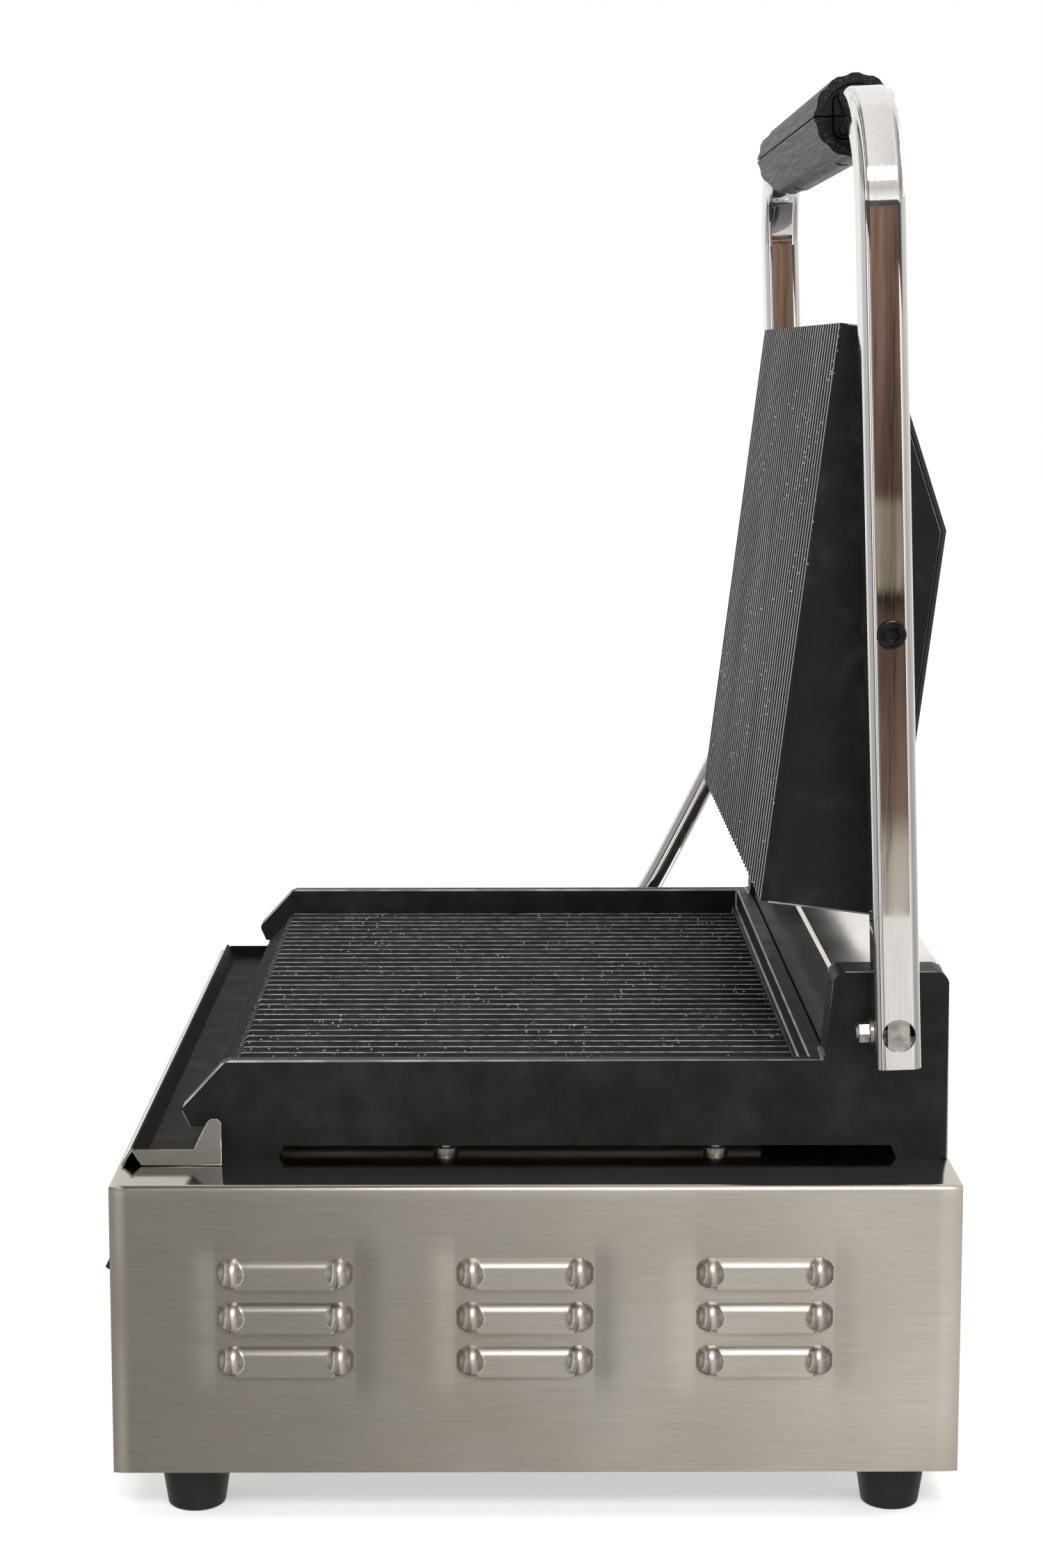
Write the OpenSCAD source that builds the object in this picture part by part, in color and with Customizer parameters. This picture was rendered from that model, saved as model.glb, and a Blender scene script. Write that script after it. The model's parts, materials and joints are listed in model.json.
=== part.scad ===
/* [Casing] */
// Width of the steel casing, side to side
body_w = 410; // [360:1:460]
// Depth of the steel casing, front to rear
body_d = 305; // [290:1:330]
// Height of the steel casing without its feet
body_h = 106.6; // [100:0.1:120]
// Thickness of the stainless sheet
sheet_t = 1.2; // [0.8:0.1:1.6]
// Height of a rubber foot
foot_h = 20; // [12:1:30]
// Diameter of a foot where it meets the base
foot_d = 27; // [24:0.5:32]

/* [Louvres] */
// Louvres in a row along each side
louvre_cols = 3; // [1:1:3]
// Rows of louvres on each side
louvre_rows = 3; // [1:1:4]
// Length of one louvre
louvre_l = 49; // [36:1:60]
// Height of one louvre
louvre_h = 10.5; // [8:0.5:12]
// How far a louvre stands out of the side
louvre_out = 4.5; // [3:0.1:6]
// Distance between columns of louvres
louvre_pitch_y = 86; // [70:1:90]
// Distance between rows of louvres
louvre_pitch_z = 16.2; // [14:0.1:18]

/* [Lower plate] */
// Width of the lower casting
lower_w = 341; // [320:1:350]
// Height of the lower casting's rim above the casing
rim_rise = 37.1; // [34:0.1:42]
// Thickness of the rim walls
rim_t = 6; // [4:0.5:8]
// Depth from the rim's top to the tips of the ribs
rim_depth = 11; // [8:0.5:14]
// Number of ribs on each plate
rib_count = 36; // [20:1:44]
// Height of a rib
rib_h = 2.6; // [1.5:0.1:4]

/* [Upper plate] */
// Width of the upper casting
upper_w = 307; // [280:1:312]
// Length of the upper casting, front to rear when closed
upper_l = 213.7; // [205:0.1:216]
// Thickness of the upper casting where its sides meet the cover's rear part
upper_h = 46.7; // [42:0.1:50]
// How far the open plate leans back from vertical
open_lean = 7.1; // [5:0.1:9]

/* [Handle] */
// Side of the square handle tube
tube_w = 16.5; // [14:0.5:18]
// Wall of the handle tube
tube_t = 1.6; // [1.2:0.1:2]
// Distance from the mid-plane to the centre of each arm
arm_x = 183; // [180:0.5:186]
// Distance from the hinge shaft to the grip
arm_l = 330; // [300:1:360]
// Outer diameter of the grip
grip_d = 31; // [28:0.5:36]
// Length of the grip
grip_l = 239; // [200:1:250]
// Diameter of the hinge shaft
shaft_d = 12; // [10:1:14]

/* [Controls] */
// Diameter of the thermostat knob's skirt
knob_d = 44; // [36:1:50]
// How far the knob stands out of the front
knob_out = 24; // [18:1:28]
// Height of the rocker switch's hole
switch_h = 28; // [24:1:32]

/* [Hidden] */
$fn = 64;
eps = 0.01;
gap = 0.3;
half_w = body_w / 2;
half_d = body_d / 2;
base_z = foot_h;
top_z = foot_h + body_h;
bend_r = 2;
foot_x = half_w - 23;
foot_ys = [-125, 131];
rim_z = top_z + rim_rise;
rib_tip_z = rim_z - rim_depth;
web_z = rib_tip_z - 10.5;
rim_front_y = -115;
rim_rear_y = 107;
rear_bar_t = 6.3;
lug_front_y = 108.8;
lug_rear_y = 151.5;
lug_z = top_z + 70;
lug_in = 18;
shaft_y = 130.4;
shaft_z = top_z + 51;
shaft_end_x = arm_x + tube_w / 2 - 0.4;
lean = 2.06;
pivot_r = 144.7;
pivot_y = shaft_y - pivot_r * sin(lean);
pivot_z = shaft_z + pivot_r * cos(lean);
pivot_u = 106.5;
pivot_v = 28.6;
cover_t = 1.7;
cover_bend_u = 70;
cover_front_v = 13.5;
thermo_x = 0;
panel_y = -half_d + 0.5;
thermo_z = base_z + 41;
switch_x = 150;
switch_z = base_z + 71;
lamp_xs = [-120, -156];
gland_x = -120;
gland_z = base_z + 30;
conduit_d = 11;
element_d = 7.9;
conduit_x = 197.6;
steel = [0.76, 0.75, 0.73];
black_iron = [0.16, 0.16, 0.16];
black = [0.07, 0.07, 0.07];
chrome = [0.86, 0.86, 0.87];
bright = [0.72, 0.72, 0.72];

// A box given by its low and high corners
module span(lo, hi) translate(lo) cube(hi - lo);

// Copies on the right and, mirrored, on the left
module both_sides() {
  children();
  mirror([1, 0, 0]) children();
}

// A square with round corners, drawn from plain squares and circles
module round_square(w, r) {
  square([w - 2 * r, w], center = true);
  square([w, w - 2 * r], center = true);
  for (i = [-1, 1], j = [-1, 1]) translate([i, j] * (w / 2 - r)) circle(r);
}

// An outline in the Y-Z plane, extruded from x0 to x1
module side_profile(points, x0, x1)
  translate([x0, 0, 0]) rotate([90, 0, 90]) linear_extrude(x1 - x0) polygon(points);

// A domed cross-head screw with its shank, pointing along +Z from the seat
module pan_screw(d_head, head, d, shank) {
  difference() {
    intersection() {
      cylinder(h = head, d = d_head);
      translate([0, 0, head - d_head * 0.8]) sphere(d = d_head * 1.6);
    }
    for (a = [0, 90]) rotate(a) translate([-d_head * 0.3, -0.5, head * 0.45]) cube([d_head * 0.6, 1, head]);
  }
  translate([0, 0, -shank]) cylinder(h = shank + eps, d = d);
}

// ---- Casing ----

// The round-ended bulge of one louvre, a cylinder with a ball at each end
module louvre_bulge(inset) {
  ball_r = (louvre_out ^ 2 + louvre_h ^ 2) / (2 * louvre_out);
  straight = louvre_l - 2 * louvre_h;
  intersection() {
    translate([louvre_out - ball_r, 0, 0]) {
      rotate([90, 0, 0]) cylinder(h = straight, r = ball_r - inset, center = true);
      for (s = [-1, 1]) translate([0, s * straight / 2, 0]) sphere(ball_r - inset);
    }
    span([-sheet_t - eps, -louvre_l, inset > 0 ? -eps : 0], [louvre_out + 1, louvre_l, louvre_h + 2]);
  }
}

module louvre_places() {
  first_y = -4 - (louvre_cols - 1) / 2 * louvre_pitch_y;
  for (c = [0 : louvre_cols - 1], r = [0 : louvre_rows - 1])
    translate([half_w, first_y + c * louvre_pitch_y, top_z - 37.4 - r * louvre_pitch_z]) children();
}

module casing_outline(inset) {
  r = bend_r - inset;
  w = half_w - inset;
  h = top_z - inset;
  translate([-w, base_z]) square([2 * w, h - base_z - r]);
  translate([-w + r, h - r - eps]) square([2 * (w - r), r + eps]);
  for (s = [-1, 1]) translate([s * (w - r), h - r]) circle(r);
}

module casing_wrap() color(steel) difference() {
  union() {
    translate([0, half_d, 0]) rotate([90, 0, 0]) linear_extrude(body_d) difference() {
      casing_outline(0);
      translate([0, -eps]) casing_outline(sheet_t);
      translate([-half_w, base_z - 1]) square([body_w, 1]);
    }
    both_sides() louvre_places() louvre_bulge(0);
  }
  both_sides() louvre_places() louvre_bulge(sheet_t);
  span([-145, -85, top_z - 5], [145, 85, top_z + 1]);
  for (s = [-1, 1], y = plate_bolt_ys) translate([s * plate_bolt_x, y, top_z - 5]) cylinder(h = 10, d = 5.4);
  translate([-conduit_x + 1.2, conduit_foot_y, top_z - 5]) cylinder(h = 10, d = 7);
}

// A shallow steel pan standing on edge, its flanges turned inwards
module standing_pan(depth) {
  w = half_w - sheet_t - gap;
  z0 = base_z + sheet_t + gap;
  z1 = top_z - sheet_t - gap;
  difference() {
    span([-w, 0, z0], [w, depth, z1]);
    span([-w + sheet_t, sheet_t, z0 + sheet_t], [w - sheet_t, depth + 1, z1 - sheet_t]);
  }
}

// Six places along the underside where the base plate is screwed to the front and rear panels
module panel_screw_places() {
  for (x = [-150, 0, 150], s = [-1, 1]) translate([x, s * (half_d - 7), base_z]) children();
}

module front_panel() color(steel) difference() {
  translate([0, panel_y, 0]) standing_pan(12);
  translate([thermo_x, panel_y - 1, thermo_z]) rotate([-90, 0, 0]) cylinder(h = 4, d = 10);
  for (x = lamp_xs) translate([x, panel_y - 1, thermo_z]) rotate([-90, 0, 0]) cylinder(h = 4, d = 12.2);
  translate([switch_x, panel_y, switch_z]) cube([22.4, 5, switch_h + 0.4], center = true);
  panel_screw_places() cylinder(h = 8, d = 4.2, center = true);
}

module rear_panel() color(steel) difference() {
  mirror([0, 1, 0]) translate([0, panel_y, 0]) standing_pan(12);
  translate([gland_x, half_d - 4, gland_z]) rotate([-90, 0, 0]) cylinder(h = 6, d = 16.4);
  for (x = [-20 : 16 : 156]) translate([x, half_d - 4, base_z + 40]) cube([4, 6, 36]);
  panel_screw_places() cylinder(h = 8, d = 4.2, center = true);
}

module base_plate() color(bright) difference() {
  w = half_w - sheet_t - gap;
  d = half_d - 1;
  union() {
    span([-w, -d, base_z], [w, d, base_z + sheet_t]);
    for (s = [-1, 1]) span([s > 0 ? w - sheet_t : -w, -d + 13, base_z], [s > 0 ? w : -w + sheet_t, d - 13, base_z + 14]);
  }
  for (s = [-1, 1], y = foot_ys) translate([s * foot_x, y, base_z - 1]) cylinder(h = 4, d = 4.6);
  for (x = [-130 : 20 : 130]) span([x - 3, -40, base_z - 1], [x + 3, 40, base_z + 3]);
  panel_screw_places() cylinder(h = 8, d = 4.2, center = true);
}

module rubber_feet() color(black) for (s = [-1, 1], y = foot_ys) translate([s * foot_x, y, 0]) difference() {
  rotate_extrude() polygon([[0, 0], [9.5, 0], [10.5, 1], [foot_d / 2, foot_h - 1.5], [foot_d / 2 - 0.6, foot_h],
    [0, foot_h]]);
  translate([0, 0, -1]) cylinder(h = 9, d = 10);
  translate([0, 0, 1]) cylinder(h = foot_h, d = 4.4);
}

module foot_screws() color(bright) for (s = [-1, 1], y = foot_ys) translate([s * foot_x, y, 8]) {
  rotate([180, 0, 0]) pan_screw(8, 3, 4, foot_h - 8 + sheet_t + 4.5);
  translate([0, 0, foot_h - 8 + sheet_t]) cylinder(h = 3.2, d = 7 / cos(30), $fn = 6);
}

// Screws from below, through the base plate into the flanges of the front and rear panels
module panel_screws() color(bright) panel_screw_places() rotate([180, 0, 0]) pan_screw(7, 1.8, 3.6, 5);

// ---- Lower plate ----

plate_bolt_x = lower_w / 2 - 9;
plate_bolt_ys = [-33, 67];

lower_outline = [[rim_front_y + 3, rim_z], [rim_front_y, rim_z - 1.2], [-129.4, top_z + 20.3],
  [-129.6, top_z + 17.6], [-127.2, top_z + 12.4], [-118.4, top_z + 12.4], [-117.2, top_z + 10.5],
  [-116.6, top_z], [-94.4, top_z], [-92.4, top_z + 5], [131.1, top_z + 5], [133.1, top_z],
  [lug_rear_y + 0.6, top_z]];

function arc(cy, cz, r, a0, a1, n) = [for (i = [0 : n]) let(a = a0 + (a1 - a0) * i / n) [cy + r * cos(a), cz + r * sin(a)]];

lug_outline = concat(lower_outline, arc(lug_rear_y - 5, lug_z - 5, 5, 0, 90, 6),
  arc(lug_front_y + 5, lug_z - 5, 5, 90, 176, 6), [[106.4, rim_z + 1.4], [rim_rear_y - 1.6, rim_z]]);

// A saw-tooth rib section: the ribs run along Y once extruded
module rib_section(width, depth) {
  pitch = width / rib_count;
  polygon(concat([[-width / 2, -depth], [-width / 2, -rib_h]],
    [for (i = [0 : rib_count - 1]) each [
      [-width / 2 + (i + 0.14) * pitch, -rib_h], [-width / 2 + (i + 0.40) * pitch, 0],
      [-width / 2 + (i + 0.60) * pitch, 0], [-width / 2 + (i + 0.86) * pitch, -rib_h]]],
    [[width / 2, -rib_h], [width / 2, -depth]]));
}

lip_slope = atan2(rim_z - 1.2 - (top_z + 20.3), rim_front_y + 129.4);

module lower_ribs() {
  inner = lower_w - 2 * rim_t + 2 * eps;
  slope_y = rim_front_y + 2;
  translate([0, rim_rear_y - rear_bar_t + eps, rib_tip_z]) rotate([90, 0, 0])
    linear_extrude(rim_rear_y - rear_bar_t - slope_y) rib_section(inner, rib_tip_z - web_z);
  intersection() {
    translate([0, slope_y, rib_tip_z]) rotate([90 - lip_slope, 0, 180]) mirror([0, 0, 1])
      translate([0, 0, -3]) linear_extrude(30) rib_section(inner, 7);
    span([-half_w, -129, top_z + 12.4], [half_w, slope_y + eps, rib_tip_z + eps]);
  }
}

module lower_plate() color(black_iron) difference() {
  union() {
    both_sides() {
      side_profile(lug_outline, lower_w / 2 - rim_t, lower_w / 2);
      intersection() {
        side_profile(lug_outline, lower_w / 2 - lug_in, lower_w / 2);
        span([0, rim_rear_y - rear_bar_t, top_z], [half_w, half_d, lug_z + 1]);
      }
    }
    lower_ribs();
    // Front skirt below the lip, rear bar with its step, and the rear wall
    span([-lower_w / 2 + 1, -116.6, top_z], [lower_w / 2 - 1, -111, web_z + 1]);
    span([-lower_w / 2 + 1, rim_rear_y - rear_bar_t, top_z + 5], [lower_w / 2 - 1, rim_rear_y, rim_z]);
    span([-lower_w / 2 + 1, rim_rear_y - rear_bar_t - 2, web_z], [lower_w / 2 - 1, rim_rear_y, rib_tip_z + 2.5]);
    for (s = [-1, 1], y = plate_bolt_ys) translate([s * plate_bolt_x, y, top_z + 5])
      cylinder(h = web_z - top_z - 4, d = 12);
  }
  both_sides() translate([lower_w / 2 - lug_in - 1, shaft_y, shaft_z]) rotate([0, 90, 0])
    cylinder(h = lug_in + 2, d = shaft_d + 4);
  for (s = [-1, 1], y = plate_bolt_ys) translate([s * plate_bolt_x, y, top_z]) cylinder(h = 13, d = 5);
}

// Bolts that hold the casting to the casing, seen in the gap below its sides
module plate_bolts() color(bright) for (s = [-1, 1], y = plate_bolt_ys)
  translate([s * plate_bolt_x, y, top_z - sheet_t]) {
    translate([0, 0, -3.5]) cylinder(h = 3.5, d = 8 / cos(30), $fn = 6);
    cylinder(h = 13, d = 4.9);
    translate([0, 0, sheet_t]) cylinder(h = 2.4, d = 9);
  }

// Route of a heating element: straight runs across the plate joined by half turns
function serpentine(width, length, runs) = let(step = length / (runs - 1)) [for (i = [0 : runs - 1]) each concat(
  let(side = i % 2 == 0 ? 1 : -1, y = -length / 2 + i * step) [[-side * width / 2, y, 0], [side * width / 2, y, 0]],
  i == runs - 1 ? [] : let(side = i % 2 == 0 ? 1 : -1, y = -length / 2 + (i + 0.5) * step)
    [for (a = [-67.5 : 22.5 : 67.5]) [side * (width / 2 + step / 2 * cos(a)), y + step / 2 * sin(a), 0]])];

module lower_element() color(bright) translate([0, -5, web_z - 4.1]) swept_tube(serpentine(220, 150, 4), element_d);
module lower_insulation() color([0.85, 0.83, 0.78]) span([-150, -95, web_z - 11.4], [150, 85, web_z - 8.4]);
module lower_clamp_plate() color(bright) span([-140, -88, web_z - 13.2], [140, 78, web_z - 11.7]);

// ---- Rear cover and hinge ----

cover_x = lower_w / 2 - lug_in - gap;

module rear_cover() color(steel) difference() {
  side_profile([[lug_front_y - 1.5, rim_z - 6], [lug_front_y + 0.2, lug_z - 2.4], [lug_front_y + 1.6, lug_z - 1],
    [lug_rear_y - 1.6, lug_z - 0.6], [lug_rear_y, lug_z - 2.2], [lug_rear_y, top_z + gap],
    [lug_rear_y - sheet_t, top_z + gap], [lug_rear_y - sheet_t, lug_z - 2.6],
    [lug_rear_y - 2, lug_z - 1.8], [lug_front_y + 2.1, lug_z - 2.2], [lug_front_y + 1.4, lug_z - 3],
    [lug_front_y - 0.3, rim_z - 6]], -cover_x, cover_x);
  for (x = [-120, 120]) translate([x, lug_rear_y - 3, top_z + 16]) rotate([-90, 0, 0]) cylinder(h = 6, d = 4.4);
}

module cover_screws() color(bright) for (x = [-120, 120])
  translate([x, lug_rear_y + eps, top_z + 16]) rotate([-90, 0, 0]) pan_screw(7.5, 2.2, 4, 6);

module shaft_bushes() color([0.72, 0.6, 0.35]) both_sides()
  translate([lower_w / 2 - lug_in, shaft_y, shaft_z]) rotate([0, 90, 0]) difference() {
    cylinder(h = lug_in, d = shaft_d + 4);
    translate([0, 0, -1]) cylinder(h = lug_in + 2, d = shaft_d + 0.1);
  }

// A round wire swept along a helix about the shaft, with closed ends
module helix(r, wire, pitch, turns) {
  sides = 6;
  steps = 12;
  count = turns * steps;
  points = [for (i = [0 : count], j = [0 : sides - 1]) let(a = 360 * i / steps, b = 360 * j / sides)
    [pitch * i / steps + wire / 2 * sin(b), (r + wire / 2 * cos(b)) * cos(a), (r + wire / 2 * cos(b)) * sin(a)]];
  walls = [for (i = [0 : count - 1], j = [0 : sides - 1]) let(k = (j + 1) % sides)
    [i * sides + j, i * sides + k, (i + 1) * sides + k, (i + 1) * sides + j]];
  first = [[for (j = [sides - 1 : -1 : 0]) j]];
  last = [[for (j = [0 : sides - 1]) count * sides + j]];
  polyhedron(points, concat(walls, first, last));
}

module torsion_springs() color([0.35, 0.35, 0.37]) both_sides()
  translate([70, shaft_y, shaft_z]) helix(shaft_d / 2 + 3.4, 3.6, 5, 9);

module spring_bracket() color(bright) both_sides() {
  side_profile([[116, top_z + 5 + gap], [147, top_z + 5 + gap], [147, top_z + 6.8], [117.8, top_z + 6.8],
    [117.8, shaft_z - 13], [116, shaft_z - 13]], 60, 130);
}

// ---- Drip tray ----

tray_l = 360;
tray_front_y = -151.6;
tray_back_y = -119.2;
tray_tab_y = -114.4;

// Section of the tray: a hollow three-sided hem in front, the floor, and an upright back wall
tray_section = [[tray_front_y, top_z + gap], [tray_front_y + 4, top_z + 7], [tray_front_y + 4.8, top_z + 7],
  [tray_front_y + 8.4, top_z + 1.3], [tray_back_y - 1, top_z + 1.3], [tray_back_y - 1, top_z + 9],
  [tray_back_y, top_z + 9], [tray_back_y, top_z + gap], [tray_front_y + 7.8, top_z + gap],
  [tray_front_y + 4.4, top_z + 5.6], [tray_front_y + 1.2, top_z + gap]];

// End plate of the tray: a low band with a tall tab at the back
tray_end = [[tray_front_y + 7.8, top_z + gap], [tray_front_y + 6.2, top_z + 2.9], [tray_front_y + 5, top_z + 5],
  [tray_front_y + 5.8, top_z + 6.4], [-124.6, top_z + 6.4], [-119.6, top_z + 16.5], [-118.2, top_z + 17.7],
  [tray_tab_y - 1.4, top_z + 17.7], [tray_tab_y, top_z + 16.5], [tray_tab_y, top_z + gap]];

module drip_tray() color(steel) {
  side_profile(tray_section, -tray_l / 2, tray_l / 2);
  both_sides() side_profile(tray_end, tray_l / 2 - 1, tray_l / 2);
}

// ---- Controls ----

module thermostat_body() color([0.2, 0.2, 0.2]) {
  span([thermo_x - 18, panel_y + sheet_t, thermo_z - 16], [thermo_x + 18, panel_y + 34, thermo_z + 16]);
  for (x = [-10, 10]) span([thermo_x + x - 3, panel_y + 33, thermo_z - 4], [thermo_x + x + 3, panel_y + 41, thermo_z - 3]);
}

module thermostat_spindle() color(bright) translate([thermo_x, panel_y - 18, thermo_z]) rotate([-90, 0, 0])
  cylinder(h = 18 + sheet_t - gap, d = 6);

knob_h = half_d + knob_out - 0.5 - gap + panel_y;

module thermostat_knob() color(black) difference() {
  translate([thermo_x, panel_y - gap, thermo_z]) rotate([90, 0, 0]) {
    rotate_extrude() polygon([[0, 0], [knob_d / 2, 0], [knob_d / 2, 3], [knob_d / 2 - 4, 6],
      [knob_d / 2 - 8, knob_h - 1.5], [knob_d / 2 - 10, knob_h], [0, knob_h]]);
    for (a = [0 : 20 : 340]) rotate(a) translate([knob_d / 2 - 8, 0, 5]) cylinder(h = knob_h - 8, d = 3);
  }
  translate([thermo_x, panel_y - 18.2, thermo_z]) rotate([-90, 0, 0]) cylinder(h = 20, d = 6);
  span([thermo_x - 0.8, -half_d - knob_out - 0.5, thermo_z + 4], [thermo_x + 0.8, -half_d - knob_out + 1.7, thermo_z + 13]);
}

// The thermostat's sensing bulb in its clip below the plate, and its capillary
module capillary_bulb() color([0.75, 0.5, 0.3]) {
  translate([-40, -58, web_z - 18]) rotate([0, 90, 0]) cylinder(h = 80, d = 6);
  translate([-60, -58, web_z - 18]) rotate([0, 90, 0]) cylinder(h = 21, d = 1.8);
}

module switch_housing() color(black) difference() {
  union() {
    span([switch_x - 13, panel_y - 2, switch_z - switch_h / 2 - 2], [switch_x + 13, panel_y - eps, switch_z + switch_h / 2 + 2]);
    span([switch_x - 11, panel_y - eps, switch_z - switch_h / 2], [switch_x + 11, panel_y + 22, switch_z + switch_h / 2]);
  }
  span([switch_x - 9.5, panel_y - 3, switch_z - 13], [switch_x + 9.5, panel_y + 12, switch_z + 13]);
}

module switch_rocker() color([0.6, 0.08, 0.06]) {
  side_profile([[panel_y + 3, switch_z + 4], [panel_y - 1.2, switch_z + 11.4], [panel_y - 3.6, switch_z],
    [panel_y - 8.8, switch_z - 9.2], [panel_y - 7.6, switch_z - 10.2], [panel_y + 1, switch_z - 10.2],
    [panel_y + 7, switch_z - 4]], switch_x - 9, switch_x + 9);
  translate([switch_x - 9, panel_y + 3.5, switch_z]) rotate([0, 90, 0]) cylinder(h = 18, d = 6);
}

module lamp_bezels() color(bright) for (x = lamp_xs) translate([x, panel_y, thermo_z]) rotate([90, 0, 0]) difference() {
  union() {
    rotate_extrude() polygon([[5, 0], [8, 0], [8, 1.6], [7.2, 2.6], [5, 2.6]]);
    translate([0, 0, -14]) cylinder(h = 14 + eps, d = 12);
  }
  translate([0, 0, -13]) cylinder(h = 20, d = 10);
}

module lamp_lenses() for (i = [0, 1]) color(i == 0 ? [0.8, 0.15, 0.1] : [0.1, 0.6, 0.2])
  translate([lamp_xs[i], panel_y, thermo_z]) rotate([90, 0, 0]) intersection() {
    translate([0, 0, -8]) cylinder(h = 14, d = 9.9);
    translate([0, 0, -4]) sphere(9);
  }

module terminal_block() color([0.9, 0.88, 0.82]) difference() {
  span([-150, 100, base_z + sheet_t], [-90, 122, base_z + 20]);
  for (i = [0 : 3]) translate([-142 + i * 15, 111, base_z + 10]) cylinder(h = 20, d = 6);
}

module cable_gland() color(black) translate([gland_x, half_d - 0.5, gland_z]) rotate([-90, 0, 0]) difference() {
  union() {
    cylinder(h = 5, d = 22 / cos(30), $fn = 6);
    translate([0, 0, 5 - eps]) cylinder(h = 9, d = 19);
    translate([0, 0, 14 - 2 * eps]) rotate_extrude() polygon([[0, 0], [9, 0], [7.4, 10], [0, 10]]);
    translate([0, 0, -14]) cylinder(h = 14 + eps, d = 16);
    translate([0, 0, -6.5]) cylinder(h = 5, d = 22 / cos(30), $fn = 6);
  }
  translate([0, 0, -20]) cylinder(h = 50, d = 9);
}

// ---- Lead conduit from the casing to the upper plate, on the left ----

conduit_foot_y = 48;
lower_route = [[-196.4, conduit_foot_y, top_z + 5.2], [-196.5, 48.4, top_z + 18], [-197.4, 52.4, top_z + 31],
  [-197.6, 60, top_z + 44], [-197.6, 70, top_z + 62], [-197.6, 84, top_z + 87], [-197.6, 100, top_z + 116],
  [-197.6, 115, top_z + 142], [-197.6, 125, top_z + 160]];
tail_route = [[-197.6, 130, top_z + 171], [-197.4, 134.5, top_z + 181], [-196, 138.5, top_z + 191],
  [-191.5, 141, top_z + 200], [-184, 141.5, top_z + 206.5], [-175, 139.8, top_z + 209.5],
  [-166.5, 137, top_z + 210], [-158.2, 135.5, top_z + 210]];

function unit(v) = v / norm(v);

// A closed tube of round section swept through a list of points
module swept_tube(route, d) {
  sides = 12;
  last = len(route) - 1;
  rings = [for (i = [0 : last]) let(
    t = unit(route[min(i + 1, last)] - route[max(i - 1, 0)]),
    side = unit(cross(t, abs(t[0]) > 0.8 ? [0, 1, 0] : [1, 0, 0])),
    up = cross(side, t)) [for (j = [0 : sides - 1]) let(a = 360 * j / sides) route[i] + d / 2 * (cos(a) * side + sin(a) * up)]];
  points = [for (ring = rings) each ring];
  walls = [for (i = [0 : last - 1], j = [0 : sides - 1]) let(k = (j + 1) % sides)
    [i * sides + j, i * sides + k, (i + 1) * sides + k, (i + 1) * sides + j]];
  polyhedron(points, concat(walls, [[for (j = [sides - 1 : -1 : 0]) j]], [[for (j = [0 : sides - 1]) last * sides + j]]));
}

module conduit_gland() color(bright) translate([-196.4, conduit_foot_y, top_z]) difference() {
  union() {
    cylinder(h = 5, d = 14 / cos(30), $fn = 6);
    translate([0, 0, -8]) cylinder(h = 8 + eps, d = 6.8);
  }
  translate([0, 0, -9]) cylinder(h = 20, d = 4.5);
}

module lead_conduit() color(chrome) swept_tube(lower_route, conduit_d);
module lead_tail() color(chrome) swept_tube(tail_route, conduit_d - 2);

module conduit_clip() color(bright) translate([-197.6, 127.5, top_z + 165.5]) rotate([-27, 0, 0]) difference() {
  union() {
    cylinder(h = 10, d = 12.6, center = true);
    translate([1, -4, -4.95]) cube([5.35, 8, 9.9]);
  }
  cylinder(h = 12, d = 8, center = true);
}

module lead_entry() color(black) translate([-upper_w / 2, 135.5, top_z + 210]) rotate([0, -90, 0]) difference() {
  cylinder(h = 4.5, d = 16);
  translate([0, 0, 1]) cylinder(h = 6, d = 9.6);
}

// ---- Handle ----

// Places its children in the arm's own frame: origin at the shaft, +Z up the arm
module arm_frame() translate([0, shaft_y, shaft_z]) rotate([lean, 0, 0]) children();

bend_centre = 36.5;

// The solid path of the U: two arms, two bends and the cross bar, of the given section
module tube_path(w, r) {
  straight = arm_l - bend_centre;
  both_sides() {
    translate([arm_x, 0, -12.4]) linear_extrude(12.4 + straight) round_square(w, r);
    translate([arm_x - bend_centre, 0, straight]) rotate([90, 0, 0])
      rotate_extrude(angle = 90) translate([bend_centre, 0]) round_square(w, r);
  }
  translate([-arm_x + bend_centre, 0, arm_l]) rotate([0, 90, 0])
    linear_extrude(2 * (arm_x - bend_centre)) round_square(w, r);
}

module handle_tube() color(chrome) arm_frame() difference() {
  tube_path(tube_w, 3.5);
  tube_path(tube_w - 2 * tube_t, 2);
  both_sides() {
    translate([arm_x - tube_w, 0, 0]) rotate([0, 90, 0]) cylinder(h = 2 * tube_w, d = shaft_d);
    translate([arm_x, -tube_w, 0]) rotate([-90, 0, 0]) cylinder(h = tube_w, d = 5);
    translate([arm_x - tube_w, 0, pivot_r]) rotate([0, 90, 0]) cylinder(h = 2 * tube_w, d = 8.1);
    translate([arm_x, 0, pivot_r]) rotate([0, 90, 0]) cylinder(h = tube_w, d = 10.6);
  }
}

module hinge_shaft() color(bright) arm_frame() difference() {
  translate([-shaft_end_x, 0, 0]) rotate([0, 90, 0]) cylinder(h = 2 * shaft_end_x, d = shaft_d - eps);
  both_sides() for (s = [-1, 1]) translate([arm_x - tube_w / 2, s > 0 ? 4 : -10, -10]) cube([tube_w, 6, 20]);
  both_sides() translate([arm_x, -10, 0]) rotate([-90, 0, 0]) cylinder(h = 20, d = 5);
}

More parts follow.
